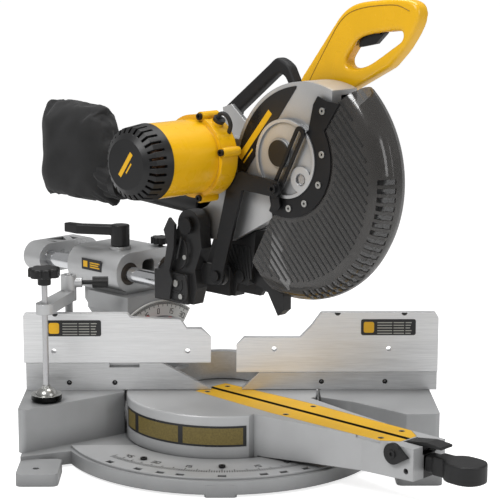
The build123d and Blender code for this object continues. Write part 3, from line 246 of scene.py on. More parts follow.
skins = {
    "base": cast_grey, "turntable": deck_grey, "trunnion": cast_grey, "bearing_housing": silver, "clamp_frame": silver,
    "rear_brace": silver, "head_casting": silver, "carriage": dark_cast, "left_sliding_fence": fence_metal,
    "right_sliding_fence": fence_metal, "fixed_fence": fence_cast, "rails": chrome, "clamp_rod": steel,
    "pivot_pins": black_steel, "blade": steel, "spindle": steel, "pivot_bolt": zinc, "bearings": steel,
    "slotted_arm": black_steel, "guard_link": black_steel, "stop_bracket": dark_cast, "kerf_screws": black_steel,
    "motor_screws": black_steel,
    "base_screws": black_steel, "guard_rivets": zinc, "detent_plate": deck_grey, "handle_frame": silver,
    "return_spring": black_steel, "blade_bolt": black_steel, "guard_ring": black_steel, "rail_bushes": bush_dark,
    "motor_housing": yellow,
    "kerf_plates": yellow_plate, "left_handle_shell": yellow, "right_handle_shell": yellow, "scale_pointers": red,
    "motor_cap": black, "carry_handle": soft_black, "trigger": black, "bevel_lever": black, "rail_knob": black,
    "left_fence_knob": black, "right_fence_knob": black, "clamp_knob": black, "clamp_thumbscrew": black,
    "clamp_pad": zinc, "mitre_lock_handle": black, "detent_lever": black, "override_lever": black,
    "dust_chute": black, "dust_spout": black, "brushes": black, "cover_trim": label_black, "belt_cover": silver,
    "bevel_scale": scale_white, "lower_guard": guard_clear, "dust_bag": soft_black, "drive_belt": rubber,
    "armature": copper, "stator": copper,
}


def repainted(material, factor_of, colour=(0.006, 0.006, 0.006, 1)):
    """Copy of a material that turns to another colour where factor_of(place, normal, op) gives 1."""
    copy = material.copy()
    tree = copy.node_tree
    shader = tree.nodes["Principled BSDF"]
    splits = []
    for kind, output in (("ShaderNodeTexCoord", "Object"), ("ShaderNodeNewGeometry", "True Normal")):
        split = tree.nodes.new("ShaderNodeSeparateXYZ")
        tree.links.new(tree.nodes.new(kind).outputs[output], split.inputs[0])
        splits.append(split.outputs)

    def op(kind, first, second=0.0):
        node = tree.nodes.new("ShaderNodeMath")
        node.operation = kind
        for socket, value in zip(node.inputs, (first, second)):
            if isinstance(value, bpy.types.NodeSocket):
                tree.links.new(value, socket)
            else:
                socket.default_value = value
        return node.outputs[0]

    mix = tree.nodes.new("ShaderNodeMix")
    mix.data_type = "RGBA"
    tree.links.new(factor_of(*splits, op), mix.inputs[0])
    tree.links.new(shader.inputs["Base Color"].links[0].from_socket, mix.inputs[6])
    mix.inputs[7].default_value = colour
    tree.links.new(mix.outputs[2], shader.inputs["Base Color"])
    return copy


def from_slot(place, op):
    """Distance of a point from the kerf slot's middle, sideways."""
    return op("ABSOLUTE", op("ADD", op("MULTIPLY", op("SUBTRACT", place[0], PIVOT.x), LEFT.x),
                             op("MULTIPLY", op("SUBTRACT", place[1], PIVOT.y), LEFT.y)))


def in_trough(place, normal, op):
    """Inside the trough under the kerf slot: painted shade, turned near-black."""
    return op("MULTIPLY", op("LESS_THAN", from_slot(place, op), 0.0125), op("LESS_THAN", place[2], PIVOT.z - 0.0042))


def in_slot(place, normal, op):
    """Side walls of the kerf slot: painted shade, turned near-black."""
    return op("LESS_THAN", from_slot(place, op), 0.0043)


def outer_edge(place, normal, op):
    """Outer side faces of the kerf plates, which take the colour of the casting round them."""
    upright = op("LESS_THAN", op("ABSOLUTE", normal[2]), 0.4)
    return op("MULTIPLY", op("GREATER_THAN", from_slot(place, op), 0.017), upright)


def pad_foot(place, normal, op):
    """Rubber foot of the clamp pad."""
    return op("LESS_THAN", place[2], PIVOT.z + 0.0105)


# painted shade: the trough under the kerf slot turns near-black
skins["turntable"] = repainted(deck_grey, in_trough)
skins["clamp_pad"] = repainted(zinc, pad_foot)
# painted shade: the kerf slot's side walls turn near-black
skins["kerf_plates"] = repainted(repainted(yellow_plate, outer_edge, (0.42, 0.425, 0.43, 1)), in_slot)
for name, material in skins.items():
    nodes[name].data.materials.clear()
    nodes[name].data.materials.append(material)


def woven(name, colour):
    """Coarse black bag cloth: two crossed sets of threads, dusty folds."""
    graph = Graph(name)
    place = graph.stretched((1, 1, 1), radians(45))
    split = graph.add("ShaderNodeSeparateXYZ", Vector=place)
    threads = [graph.math("SINE", graph.math("MULTIPLY", split.outputs[axis], 2 * pi / 0.0016)) for axis in (0, 2)]
    weave = graph.math("MAXIMUM", threads[0], threads[1])
    dust = graph.noise(22.0, 4.0)
    graph.set(Base_Color=graph.mix(graph.spread(dust, 0.0, 1.0, 0.35, 0.75), shade(colour, 0.8), shade(colour, 1.7)),
              Roughness=0.8, Sheen_Weight=0.12)
    graph.shader.inputs["Sheen Roughness"].default_value = 0.45
    graph.bump(weave, 0.35, 0.00025)
    return graph.material


bag_cloth = woven("bag_cloth", (0.009, 0.009, 0.0095))


# ---- meshes --------------------------------------------------------------------------------------
def piece(name, mesh, material, body, smooth=True):
    """Object from a bmesh, riding on a CAD body."""
    data = bpy.data.meshes.new(name)
    bmesh.ops.recalc_face_normals(mesh, faces=mesh.faces)
    mesh.to_mesh(data)
    mesh.free()
    for polygon in data.polygons:
        polygon.use_smooth = smooth
    made = bpy.data.objects.new(name, data)
    bpy.context.scene.collection.objects.link(made)
    made.data.materials.append(material)
    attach(made, body)
    return made


def slab(mesh, outline, normal, thickness, chamfer=0.0):
    """Closed plate from world points, its top edge chamfered; thickness along the normal."""
    centre = sum(outline, Vector()) / len(outline)
    rings = [outline, [p + normal * (thickness - chamfer) for p in outline]]
    if chamfer:
        rings.append([p + (centre - p).normalized() * chamfer + normal * thickness for p in outline])
    made = [[mesh.verts.new(p) for p in ring] for ring in rings]
    count = len(outline)
    for low, high in zip(made, made[1:]):
        for i in range(count):
            mesh.faces.new((low[i], low[(i + 1) % count], high[(i + 1) % count], high[i]))
    mesh.faces.new(made[0][::-1])
    mesh.faces.new(made[-1])


def tube(mesh, points, radius, sides=10, closed=False):
    """Round tube through world points."""
    rings = []
    count = len(points)
    for i, p in enumerate(points):
        before = points[i - 1] if i or closed else p
        after = points[(i + 1) % count] if i + 1 < count or closed else p
        along = (after - before).normalized()
        across = along.orthogonal().normalized() if not rings else (last - along * last.dot(along)).normalized()
        last = across
        other = along.cross(across)
        rings.append([mesh.verts.new(p + (across * cos(2 * pi * k / sides) + other * sin(2 * pi * k / sides)) * radius)
                      for k in range(sides)])
    pairs = list(zip(rings, rings[1:])) + ([(rings[-1], rings[0])] if closed else [])
    for low, high in pairs:
        for k in range(sides):
            mesh.faces.new((low[k], low[(k + 1) % sides], high[(k + 1) % sides], high[k]))
    if not closed:
        mesh.faces.new(rings[0][::-1])
        mesh.faces.new(rings[-1])


# ---- dust bag ------------------------------------------------------------------------------------
BAG_CORNERS = ((-236, 262), (-410, 264), (-406, 424), (-262, 422))
BAG_BELLY = 9  # how far each side of the starting outline swells


def bag_point(u, v, bulge):
    """Point of the bag's side, u from the front edge to the back, v from the bottom to the top."""
    low = Vector(BAG_CORNERS[0]).lerp(Vector(BAG_CORNERS[1]), u)
    high = Vector(BAG_CORNERS[3]).lerp(Vector(BAG_CORNERS[2]), u)
    spot = low.lerp(high, v)
    spot.x += BAG_BELLY * (u - 0.5) * -2 * (1 - (2 * v - 1) ** 2) * (2.2 if u < 0.5 else 1)
    spot.y += BAG_BELLY * (v - 0.5) * 2 * (1 - (2 * u - 1) ** 2)
    return at(spot.x, spot.y, bulge)


bag_mesh = bmesh.new()
BAG_STEPS = 24
faces_of = {}
for face in (-1, 1):
    for i in range(BAG_STEPS + 1):
        for j in range(BAG_STEPS + 1):
            u, v = i / BAG_STEPS, j / BAG_STEPS
            rim = min(u, 1 - u, v, 1 - v)
            if rim == 0 and face == 1:
                faces_of[face, i, j] = faces_of[-1, i, j]
                continue
            full = 24 * (1 - (1 - min(1, rim * 3.0)) ** 2) + (2 if rim else 0)
            faces_of[face, i, j] = bag_mesh.verts.new(bag_point(u, v, face * full))
    for i in range(BAG_STEPS):
        for j in range(BAG_STEPS):
            bag_mesh.faces.new([faces_of[face, i + a, j + b] for a, b in ((0, 0), (1, 0), (1, 1), (0, 1))])
bag = piece("bag_cloth_body", bag_mesh, bag_cloth, "head")


def apply_modifiers(thing):
    """Replaces a mesh with its evaluated self, and drops its modifiers."""
    depsgraph = bpy.context.evaluated_depsgraph_get()
    final = bpy.data.meshes.new_from_object(thing.evaluated_get(depsgraph))
    thing.modifiers.clear()
    old = thing.data
    thing.data = final
    bpy.data.meshes.remove(old)


def inflate(thing, voxel, pressure, cap, frames=20):
    """Voxel remesh, then cloth under pressure, with each point's travel capped."""
    remesh = thing.modifiers.new("remesh", "REMESH")
    remesh.mode = "VOXEL"
    remesh.voxel_size = voxel
    apply_modifiers(thing)
    start = [v.co.copy() for v in thing.data.vertices]
    cloth = thing.modifiers.new("cloth", "CLOTH")
    cloth.settings.use_pressure = True
    cloth.settings.uniform_pressure_force = pressure
    cloth.settings.effector_weights.gravity = 0
    cloth.settings.quality = 6
    cloth.settings.tension_stiffness = 25
    cloth.settings.bending_stiffness = 0.3
    cloth.settings.shrink_min = -0.06
    cloth.point_cache.frame_start = 1
    cloth.point_cache.frame_end = frames
    for number in range(1, frames + 1):
        bpy.context.scene.frame_set(number)
    apply_modifiers(thing)
    bpy.context.scene.frame_set(1)
    for v, was in zip(thing.data.vertices, start):
        move = v.co - was
        if move.length > cap:
            v.co = was + move * (cap / move.length)


inflate(bag, 0.005, 4.0, 0.008)
for v in bag.data.vertices:  # folds run back and up from the collar
    local = v.co - at(-236, 270)
    reach, height, left = local.dot(OUT), local.z, local.dot(LEFT)
    along = Vector((reach * 5 + height * 7, left * 6, height * 16 - reach * 12))
    fold = noise.noise(along) + 0.5 * noise.noise(along * 2.3 + Vector((4, 1, 2)))
    edge = min(1.0, abs(left) / 0.012)
    v.co += LEFT * (0.006 * fold * edge * (1 if left > 0 else -1))
finer = bag.modifiers.new("soften", "SUBSURF")
finer.levels = finer.render_levels = 1
apply_modifiers(bag)
for polygon in bag.data.polygons:
    polygon.use_smooth = True
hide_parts("dust_bag")

NECK_SIDES = 64
NECK = ((-221, 300.5, 27.6, 0), (-227, 300.5, 28.2, 0.2), (-233, 301, 28.6, 0.9), (-241, 303, 30.5, 1.6),
        (-251, 307, 32, 1.8), (-262, 312, 31, 1.2), (-274, 318, 24, 0.4))  # reach, height, radius, depth of the gathers
neck_mesh = bmesh.new()  # gathered cloth from the collar into the bag
neck_rows = []
for reach, height, radius, gather in NECK:
    row = []
    for k in range(NECK_SIDES):
        turn = 2 * pi * k / NECK_SIDES
        r = radius + gather * sin(13 * turn) + 0.5 * gather * sin(5 * turn + 1)
        row.append(neck_mesh.verts.new(at(reach, height + r * cos(turn), 0.92 * r * sin(turn))))
    neck_rows.append(row)
for low, high in zip(neck_rows, neck_rows[1:]):
    for k in range(NECK_SIDES):
        m = (k + 1) % NECK_SIDES
        neck_mesh.faces.new((low[k], low[m], high[m], high[k]))
neck_mesh.faces.new(neck_rows[0][::-1])
neck_mesh.faces.new(neck_rows[-1])
piece("bag_neck", neck_mesh, bag_cloth, "head")

# ---- lower guard ---------------------------------------------------------------------------------
HUB = Vector((162, 377))  # the guard's axis
SHELL = Vector((163, 350))  # centre of its rim
HUB_BORE = 57.4
SIDE = 31.3  # outer faces, either side of the blade
SHOULDER = 148  # radius at which the side turns into the rim
WALL = 2.4
GUARD_EDGE = ((145, 160), (94, 219), (130, 285), (150, 305), (162, 377), (222, 436), (274, 476), (300, 500), (420, 500),
              (420, 100), (145, 100))


def prism(outline, low, high):
    """Closed prism of a (reach, height) outline between two distances left of the blade."""
    mesh = bmesh.new()
    near = [mesh.verts.new(at(x, y, low)) for x, y in outline]
    far = [mesh.verts.new(at(x, y, high)) for x, y in outline]
    mesh.faces.new(near[::-1])
    mesh.faces.new(far)
    for i in range(len(outline)):
        k = (i + 1) % len(outline)
        mesh.faces.new((near[i], near[k], far[k], far[i]))
    return mesh


def circle(centre, radius, count=96):
    """Points round a (reach, height) centre."""
    turns = [2 * pi * i / count for i in range(count)]
    return [(centre[0] + radius * cos(turn), centre[1] + radius * sin(turn)) for turn in turns]


def cut(thing, mesh, operation):
    """Boolean against a temporary mesh, applied."""
    data = bpy.data.meshes.new("cutter")
    bmesh.ops.recalc_face_normals(mesh, faces=mesh.faces)
    mesh.to_mesh(data)
    mesh.free()
    tool = bpy.data.objects.new("cutter", data)
    bpy.context.scene.collection.objects.link(tool)
    boolean = thing.modifiers.new("cut", "BOOLEAN")
    boolean.operation = operation
    boolean.object = tool
    boolean.solver = "EXACT"
    bpy.context.view_layer.update()
    apply_modifiers(thing)
    bpy.data.objects.remove(tool)
    bpy.data.meshes.remove(data)


profile = [(40, SIDE), (SHOULDER, SIDE)]  # radius and distance left of the blade
for k in range(1, 9):  # shoulder that rolls from the side into the rim
    turn = k / 8 * pi / 2
    profile.append((SHOULDER + 27 * sin(turn), SIDE - 16 * (1 - cos(turn))))
profile += [(179, 11), (180.6, 4), (180.6, -4), (179, -11)]
profile += [(radius, -left) for radius, left in profile[:10][::-1]]
inner = []
for radius, left in profile:
    depth = -WALL if left > 12 else WALL if left < -12 else 0
    inner.append((min(radius - WALL if radius > SHOULDER else radius, 178.4), left + depth))
loop = profile + inner[::-1]
SPIN = 120
guard_mesh = bmesh.new()
rings = []
for i in range(SPIN):
    turn = 2 * pi * i / SPIN
    rings.append([guard_mesh.verts.new(at(SHELL.x + radius * cos(turn), SHELL.y + radius * sin(turn), left))
                  for radius, left in loop])
for i in range(SPIN):
    low, high = rings[i], rings[(i + 1) % SPIN]
    for k in range(len(loop)):
        m = (k + 1) % len(loop)
        guard_mesh.faces.new((low[k], low[m], high[m], high[k]))
guard = piece("smoked_guard_shell", guard_mesh, guard_clear, "guard")
cut(guard, prism(GUARD_EDGE, -60, 60), "INTERSECT")
cut(guard, prism(circle(HUB, HUB_BORE), -60, 60), "DIFFERENCE")
vents = bmesh.new()  # wedges through the left half of the rim
for i in range(21):
    turn = radians(3 - 4.1 * i)
    across = Vector((cos(turn), sin(turn)))
    along = Vector((-sin(turn), cos(turn)))
    spots = []
    for left, near, far in ((6, 172, 190), (28, 160, 190)):
        for half in (-3.6, 3.6):
            for radius in (near, far):
                spot = SHELL + across * radius + along * half
                spots.append(vents.verts.new(at(spot.x, spot.y, left)))
    a, b, c, d, e, f, g, h = spots
    for corners in ((a, b, d, c), (e, g, h, f), (a, e, f, b), (c, d, h, g), (a, c, g, e), (b, f, h, d)):
        vents.faces.new(corners)
cut(guard, vents, "DIFFERENCE")
for polygon in guard.data.polygons:
    polygon.use_smooth = True
guard.data.set_sharp_from_angle(angle=radians(28))
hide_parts("lower_guard")


def inside(spot, outline):
    """Whether a (reach, height) point lies in an outline."""
    hit = False
    for (x1, y1), (x2, y2) in zip(outline, outline[1:] + outline[:1]):
        if (y1 > spot.y) != (y2 > spot.y) and spot.x < (x2 - x1) * (spot.y - y1) / (y2 - y1) + x1:
            hit = not hit
    return hit


def rib(mesh, start, end, left, width, height):
    """Low ridge with sloping sides between two (reach, height) points."""
    along = (end - start).normalized()
    across = Vector((-along.y, along.x))
    rows = []
    for spot in (start, end):
        for offset, lift in ((-width / 2, 0), (-width * 0.22, height), (width * 0.22, height), (width / 2, 0)):
            place = spot + across * offset
            rows.append(mesh.verts.new(at(place.x, place.y, left + lift)))
    for k in range(3):
        mesh.faces.new((rows[k], rows[k + 1], rows[k + 5], rows[k + 4]))
    mesh.faces.new((rows[0], rows[4], rows[7], rows[3]))
    mesh.faces.new(rows[0:4][::-1])
    mesh.faces.new(rows[4:8])


ribs = bmesh.new()
slope = Vector((0.68, -0.73))  # the way the ribs run
step = Vector((0.73, 0.68))
RIB_PITCH = 9.4
edge_list = list(GUARD_EDGE)
for index in range(-20, 21):
    centre = SHELL + step * (index * RIB_PITCH)
    run = []
    for t in range(-180, 181, 2):
        spot = centre + slope * t
        clear = 91 < (spot - HUB).length and (spot - SHELL).length < 151 and inside(spot, edge_list)
        if clear:
            run.append(spot)
        if run and (not clear or t == 180):
            if len(run) > 4:
                rib(ribs, run[0], run[-1], 31.2, 4.4, 1.3)
            run = []
piece("guard_ribs", ribs, guard_rib, "guard", smooth=False)


def curved(points, steps=6):
    """Smooth run of points through the given ones."""
    run = []
    for i in range(len(points) - 1):
        p0, p1, p2, p3 = points[max(0, i - 1)], points[i], points[i + 1], points[min(len(points) - 1, i + 2)]
        for k in range(steps):
            t = k / steps
            run.append(0.5 * (2 * p1 + (p2 - p0) * t + (2 * p0 - 5 * p1 + 4 * p2 - p3) * t * t
                              + (3 * p1 - p0 - 3 * p2 + p3) * t ** 3))
    return run + [points[-1]]


# ---- rounded mouldings ---------------------------------------------------------------------------
def soften(name, sources, voxel, passes, material, body):
    """One rounded moulding from CAD nodes: remeshed finely, then smoothed."""
    mesh = bmesh.new()
    for source in sources:
        mesh.from_mesh(nodes[source].data)
    made = piece(name, mesh, material, body)
    remesh = made.modifiers.new("remesh", "REMESH")
    remesh.mode = "VOXEL"
    remesh.voxel_size = voxel
    smooth = made.modifiers.new("smooth", "SMOOTH")
    smooth.factor = 0.5
    smooth.iterations = passes
    apply_modifiers(made)
    for polygon in made.data.polygons:
        polygon.use_smooth = True
    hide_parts(*sources)
    return made


handle = soften("main_handle", ("left_handle_shell", "right_handle_shell"), 0.0018, 60, yellow, "head")
seam = bmesh.new()
seam_run = [(134, 474), (150, 500), (172, 534), (194, 566), (214, 582), (240, 590), (270, 594), (300, 595), (322, 588)]
tube(seam, curved([at(reach, height, -41.2) for reach, height in seam_run]), 0.0007, sides=8)
piece("handle_seam_line", seam, shell_line, "head")
cut(handle, prism(((221, 528), (220, 563), (276, 567), (278, 545), (263, 528)), -58.8, -48.2), "DIFFERENCE")
soften("carry_handle_grip", ("carry_handle",), 0.0012, 10, soft_black, "head")
soften("mitre_lock_paddle", ("mitre_lock_handle",), 0.0012, 8, black, "lock_handle")
soften("bevel_lock_lever", ("bevel_lever",), 0.0011, 8, black, "bevel_clamp")
soften("detent_trip_lever", ("detent_lever",), 0.0008, 4, black, "detent")
soften("clamp_hand_knob", ("clamp_knob",), 0.0009, 4, black, "clamp_spindle")
soften("rail_lock_knob", ("rail_knob",), 0.0008, 4, black, "rail_lock")

# ---- plates and scales ---------------------------------------------------------------------------
FRONT = Vector((0, -1, 0))


def plate_on_fence(name, x, z, width, height, y, body, material, thickness=0.6):
    """Rounded plate on a face square to the fence."""
    mesh = bmesh.new()
    corner = min(3.0, height / 4)
    outline = []
    for cx, cz, start in ((1, 1, 0), (-1, 1, 90), (-1, -1, 180), (1, -1, 270)):
        for k in range(4):
            turn = radians(start + 30 * k)
            outline.append(at_table(x + cx * (width / 2 - corner) + corner * cos(turn), y,
                                    z + cz * (height / 2 - corner) + corner * sin(turn)))
    slab(mesh, outline[::-1], FRONT, thickness * MM)
    return piece(name, mesh, material, body, smooth=False)


def fence_label(name, x, z, width, body):
    """Plain plate: dark ground, yellow block, rows of blank bars."""
    plate_on_fence(name + "_plate", x, z, width, 25, 0, body, label_black)
    plate_on_fence(name + "_block", x - width / 2 + 12, z, 16, 17, -0.6, body, label_yellow, 0.2)
    bars = bmesh.new()
    for row in range(5):
        for start, share in ((0.0, 0.42), (0.46, 0.3), (0.8, 0.17 - 0.02 * (row % 3))):
            x0 = x - width / 2 + 25 + (width - 30) * start
            x1 = x0 + (width - 30) * share
            z0 = z + 8 - row * 4.2
            outline = [at_table(px, -0.6, pz) for px, pz in ((x0, z0), (x1, z0), (x1, z0 - 1.5), (x0, z0 - 1.5))]
            slab(bars, outline[::-1], FRONT, 0.15 * MM)
    piece(name + "_bars", bars, label_grey, body, smooth=False)


LABEL_WIDTH = 84
for body, name, outward, shares in (("left_fence", "left_sliding_fence", -1, (0.17,)),
                                    ("right_fence", "right_sliding_fence", 1, (0.17, 0.5))):
    (west, east), (_, top) = extent(name, Vector((1, 0, 0)), UP)
    end, length = (west, east - west) if outward < 0 else (east, east - west)
    fence_label(body + "_label", end - outward * (LABEL_WIDTH / 2 + 35), top - 23, LABEL_WIDTH, body)
    fence_notch_shade = bmesh.new()  # dark half-discs where the top edge is shallowly notched, by their share of the fence's length: painted shade of the notching
    for share in shares:
        x = end - outward * share * length
        turns = [radians(a) for a in range(0, -181, -20)]
        outline = [at_table(x + 4.5 * cos(turn), 0, top - 0.2 + 4.5 * sin(turn)) for turn in turns]
        slab(fence_notch_shade, outline, FRONT, 0.3 * MM)
    piece(body + "_notches", fence_notch_shade, dark_cast, body, smooth=False)


def skirt_plate(name, start, end, low, high, radius, material, lift):
    """Curved plate on the turntable's side, angles in degrees from the front, clockwise from above."""
    mesh = bmesh.new()
    steps = 24
    rows = []
    for k in range(steps + 1):
        turn = radians(start + (end - start) * k / steps)
        rows.append([mesh.verts.new(at_table(-r * sin(turn), -r * cos(turn), h))
                     for r, h in ((radius, low), (radius + lift, low), (radius + lift, high), (radius, high))])
    for a, b in zip(rows, rows[1:]):
        for k in range(4):
            mesh.faces.new((a[k], a[(k + 1) % 4], b[(k + 1) % 4], b[k]))
    mesh.faces.new(rows[0][::-1])
    mesh.faces.new(rows[-1])
    return piece(name, mesh, material, "table", smooth=False)


skirt_plate("skirt_plate", -14, 76, -46, -15, 147, label_black, 0.5)
for number, (start, end) in enumerate(((-12, 23), (26, 58), (62, 74))):
    skirt_plate(f"skirt_field_{number}", start, end, -43, -18, 147.5, label_field, 0.2)

FLANGE = -66


def digit_strokes(text):
    """Seven-segment style strokes for digits, in a unit cell."""
    ends = {"a": ((0, 1), (0.6, 1)), "b": ((0.6, 1), (0.6, 0.5)), "c": ((0.6, 0.5), (0.6, 0)), "d": ((0, 0), (0.6, 0)),
            "e": ((0, 0.5), (0, 0)), "f": ((0, 1), (0, 0.5)), "g": ((0, 0.5), (0.6, 0.5))}
    table = {"0": "abcdef", "1": "bc", "2": "abged", "3": "abgcd", "4": "fgbc", "5": "afgcd", "6": "afgedc", "7": "abc",
             "8": "abcdefg", "9": "abcdfg"}
    strokes = []
    for place, letter in enumerate(text):
        for segment in table[letter]:
            (x0, y0), (x1, y1) = ends[segment]
            strokes.append(((x0 + place * 0.95, y0), (x1 + place * 0.95, y1)))
    width = 0.95 * (len(text) - 1) + 0.6
    return [((x0 - width / 2, y0), (x1 - width / 2, y1)) for (x0, y0), (x1, y1) in strokes]


def bar(mesh, start, end, normal, width, lift):
    """Thin raised stroke between two world points on a surface."""
    along = (end - start).normalized()
    across = along.cross(normal) * (width / 2)
    slab(mesh, [start - across, end - across, end + across, start + across], normal, lift)


ticks = bmesh.new()
for degree in range(-50, 51):
    turn = radians(degree)
    length = 13 if degree % 5 == 0 else 8
    ends = [at_table(r * sin(turn), -r * cos(turn), FLANGE + 3) for r in (214, 214 - length)]
    bar(ticks, ends[0], ends[1], UP, 0.0013, 0.00015)
for degree in (-45, -30, -15, 0, 15, 30, 45):
    turn = radians(degree)
    centre = at_table(196 * sin(turn), -196 * cos(turn), FLANGE + 3)
    right, back = Vector((cos(turn), sin(turn), 0)), Vector((-sin(turn), cos(turn), 0))
    for (x0, y0), (x1, y1) in digit_strokes(str(abs(degree))):
        bar(ticks, centre + right * x0 * 0.008 + back * y0 * 0.009, centre + right * x1 * 0.008 + back * y1 * 0.009,
            UP, 0.0017, 0.00015)
piece("mitre_scale_marks", ticks, label_black, "base", smooth=False)

# painted shade: thin near-black plates on the flange, standing in for the shade in each detent recess
detent_notch_shade = bmesh.new()
for degree in (0, 15, 22.5, 31.62, 45, -15, -22.5, -31.62, -45):
    turn = radians(degree)
    right, back = Vector((cos(turn), sin(turn), 0)), Vector((-sin(turn), cos(turn), 0))
    centre = at_table(230 * sin(turn), -230 * cos(turn), FLANGE)
    slab(detent_notch_shade, [centre + right * a * 0.0059 + back * b * 0.0044 for a, b in SQUARE], UP, 0.0004)
piece("detent_notch_floors", detent_notch_shade, label_black, "base", smooth=False)

bevel_marks = bmesh.new()
for degree in range(-34, 35, 1):
    turn = radians(degree)
    length = 8 if degree % 5 == 0 else 4.5
    ends = [at(-143, r * cos(turn), r * sin(turn)) for r in (117, 117 - length)]
    bar(bevel_marks, ends[0], ends[1], OUT, 0.0009, 0.0003)
for degree in (-30, -15, 0, 15, 30):
    turn = radians(degree)
    centre = at(-143, 98 * cos(turn), 98 * sin(turn))
    up, right = (UP * cos(turn) + LEFT * sin(turn)), (UP * sin(turn) - LEFT * cos(turn))
    for (x0, y0), (x1, y1) in digit_strokes(str(abs(degree))):
        bar(bevel_marks, centre + right * x0 * 0.007 + up * y0 * 0.008, centre + right * x1 * 0.007 + up * y1 * 0.008,
            OUT, 0.001, 0.0003)
piece("bevel_scale_marks", bevel_marks, label_black, "bevel", smooth=False)
(_, scale_face), (scale_foot, _) = extent("bevel_scale", OUT, UP)
flag = bmesh.new()
flag_edge = ((12, 8), (14, 18), (24, 23), (38, 19), (48, 12), (50, 8))
slab(flag, [at(scale_face + 0.6, scale_foot + rise, left) for left, rise in flag_edge], OUT, 0.0005)
piece("bevel_flag", flag, red, "table", smooth=False)

(housing_back, housing_front), (_, housing_top), (_, housing_side) = extent("bearing_housing", OUT, UP, LEFT)
plate_reach, plate_height = (housing_back + housing_front) / 2, housing_top - 28
housing_label = bmesh.new()
slab(housing_label, [at(plate_reach + a * 23.5, plate_height + b * 9, housing_side) for a, b in SQUARE], LEFT, 0.0006)
piece("rail_housing_plate", housing_label, label_black, "bevel", smooth=False)
housing_mark = bmesh.new()
for start, end, low, high in ((-19.5, -9.5, -5, 5), (-3.5, 19.5, 2, 4), (-3.5, 16.5, -1.5, 0.5), (-3.5, 19.5, -5, -3)):
    slab(housing_mark, [at(plate_reach + reach, plate_height + rise, housing_side + 0.6)
                        for reach, rise in ((start, low), (end, low), (end, high), (start, high))], LEFT, 0.0003)
piece("rail_housing_mark", housing_mark, label_yellow, "bevel", smooth=False)

# plain bars along the dark side panel, midway between its straight edge and its rim
PANEL_ALONG, PANEL_ACROSS = Vector((0.645, 0.764)), Vector((0.764, -0.645))
arbor = Vector(joints["blade_spin"]["pos_m"]) - PIVOT
arbor = Vector((arbor.dot(OUT), arbor.z)) / MM
panel_low = extent("cover_trim", LEFT)[0][0]
panel_edge = []
for vertex in nodes["cover_trim"].data.vertices:
    place = (nodes["cover_trim"].matrix_world @ vertex.co - PIVOT) / MM
    if place.dot(LEFT) < panel_low + 1.2:
        panel_edge.append(Vector((place.dot(OUT), place.z)) - arbor)
panel_rim = max(p.length for p in panel_edge)
panel_middle = (panel_rim + min(-p.dot(PANEL_ACROSS) for p in panel_edge)) / 2
panel_end = (panel_rim ** 2 - panel_middle ** 2) ** 0.5
panel_marks = bmesh.new()
for offset, length, half in ((0, 47, 4.6), (10, 14, 1.2)):
    centre = arbor + PANEL_ACROSS * (offset - panel_middle) + PANEL_ALONG * (length + 6 - panel_end)
    corners = [centre + PANEL_ALONG * a * length + PANEL_ACROSS * b * half for a, b in SQUARE]
    slab(panel_marks, [at(p.x, p.y, panel_low + 1) for p in corners], LEFT, 0.0004)
piece("side_panel_bars", panel_marks, label_yellow, "head", smooth=False)

carriage_ribs = bmesh.new()  # cast ribs on the carriage's side
for left, run in ((62, [(-56, 147), (-16, 147), (-16, 184), (-40, 184)]),
                  (62, [(-44, 160), (-30, 160), (-24, 166), (-24, 178)]),
                  (60, [(-26, 196), (-18, 206), (-14, 226), (-20, 240)]),
                  (60, [(-36, 208), (-30, 230), (-26, 244)])):
    tube(carriage_ribs, curved([at(reach, height, left) for reach, height in run], 4), 0.0018, sides=8)
piece("carriage_ribs", carriage_ribs, dark_cast, "slide")
for number, (reach, height, left, radius) in enumerate(((-25, 153, 62, 4.2), (-36, 172, 62, 5.5), (-18, 214, 60, 3.6))):
    bolt = prism(circle((reach, height), radius, 24), left, left + 2.4)
    piece(f"carriage_bolt_{number}", bolt, zinc, "slide", smooth=False)

cap_reach, cap_height, (_, cap_face) = extent("motor_cap", OUT, UP, LEFT)
badge = bmesh.new()  # plain bars on the motor's end cap
for offset, length in ((0, 21), (8, 9)):
    centre = Vector((sum(cap_reach) / 2, sum(cap_height) / 2)) + Vector((0.8, -0.6)) * offset
    corners = [centre + Vector((0.6, 0.8)) * a * length + Vector((0.8, -0.6)) * b * (3.4 if offset == 0 else 1.2)
               for a, b in SQUARE]
    slab(badge, [at(p.x, p.y, cap_face) for p in corners], LEFT, 0.0004)
piece("cap_bars", badge, label_yellow, "head", smooth=False)

lead = bmesh.new()
route = [at(56, 424, 66), at(63, 436, 66), at(72, 434, 62), at(75, 420, 57), at(66, 404, 54)]
tube(lead, curved(route), 0.0032, sides=12)
piece("brush_cap_lead", lead, rubber, "head")

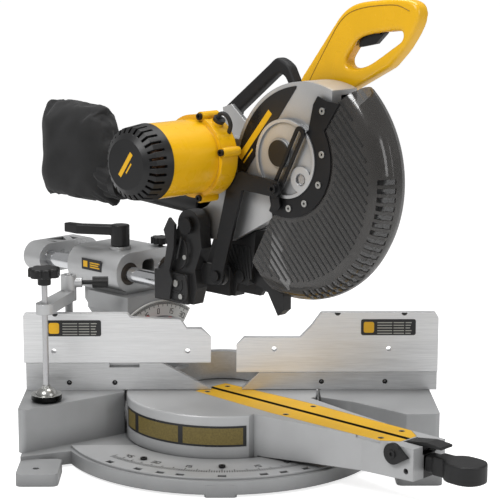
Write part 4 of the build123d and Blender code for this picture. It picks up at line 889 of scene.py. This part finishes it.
# ---- floor, light and camera ---------------------------------------------------------------------
floor = bpy.data.objects.new("floor", bpy.data.meshes.new("floor"))
bpy.context.scene.collection.objects.link(floor)
sheet = bmesh.new()
corners = [sheet.verts.new((x, y, -0.0005)) for x, y in ((-40, -40), (40, -40), (40, 40), (-40, 40))]
sheet.faces.new(corners)
sheet.to_mesh(floor.data)
floor_paint = surface("floor_pale", (0.72, 0.72, 0.72), 0.9, vary=0.01, edge=0.0, specular=0.1)
floor_paint.node_tree.nodes["Principled BSDF"].inputs["Emission Color"].default_value = (1, 1, 1, 1)
floor_seen = floor_paint.node_tree.nodes.new("ShaderNodeLightPath")  # whiter to the eye than as a light
floor_glow = floor_paint.node_tree.nodes.new("ShaderNodeMapRange")
floor_glow.inputs["To Min"].default_value = 0.12
floor_glow.inputs["To Max"].default_value = 0.78
floor_paint.node_tree.links.new(floor_seen.outputs["Is Camera Ray"], floor_glow.inputs["Value"])
floor_paint.node_tree.links.new(floor_glow.outputs["Result"],
                                floor_paint.node_tree.nodes["Principled BSDF"].inputs["Emission Strength"])
floor.data.materials.append(floor_paint)

world = bpy.data.worlds.new("studio")
world.use_nodes = True
sky = world.node_tree.nodes["Background"]
sky.inputs[0].default_value = (1, 1, 1, 1)
path = world.node_tree.nodes.new("ShaderNodeLightPath")
level = world.node_tree.nodes.new("ShaderNodeMapRange")  # white behind, dimmer as a light
level.inputs["To Min"].default_value = 0.34
level.inputs["To Max"].default_value = 1.0
world.node_tree.links.new(path.outputs["Is Camera Ray"], level.inputs["Value"])
world.node_tree.links.new(level.outputs["Result"], sky.inputs[1])
bpy.context.scene.world = world


def soft_light(name, place, aim, size, power):
    lamp = bpy.data.lights.new(name, "AREA")
    lamp.shape = "RECTANGLE"
    lamp.size, lamp.size_y = size
    lamp.energy = power
    holder = bpy.data.objects.new(name, lamp)
    bpy.context.scene.collection.objects.link(holder)
    holder.location = place
    holder.rotation_euler = (Vector(aim) - Vector(place)).to_track_quat("-Z", "Y").to_euler()


soft_light("key", (-1.3, -1.5, 2.2), (0, 0, 0.3), (0.9, 0.9), 38)
soft_light("fill", (2.0, -1.4, 1.1), (0, 0, 0.3), (1.2, 1.2), 12)
soft_light("top", (0.2, 0.4, 2.2), (0, 0, 0.3), (1.6, 0.9), 24)

camera = bpy.data.objects.new("camera", bpy.data.cameras.new("camera"))
bpy.context.scene.collection.objects.link(camera)
pitch, yaw, roll = radians(10.51), radians(0.87), radians(0.11)
forward = Vector((sin(yaw) * cos(pitch), cos(yaw) * cos(pitch), -sin(pitch)))
camera.location = (0.0040, -2.4926, 0.7803)
camera.rotation_euler = (forward.to_track_quat("-Z", "Y") @ Matrix.Rotation(roll, 3, "Z").to_quaternion()).to_euler()
camera.data.lens = 122.4
camera.data.sensor_width = 36.0
camera.data.clip_end = 50
bpy.context.scene.camera = camera
bpy.context.scene.view_settings.view_transform = "Standard"
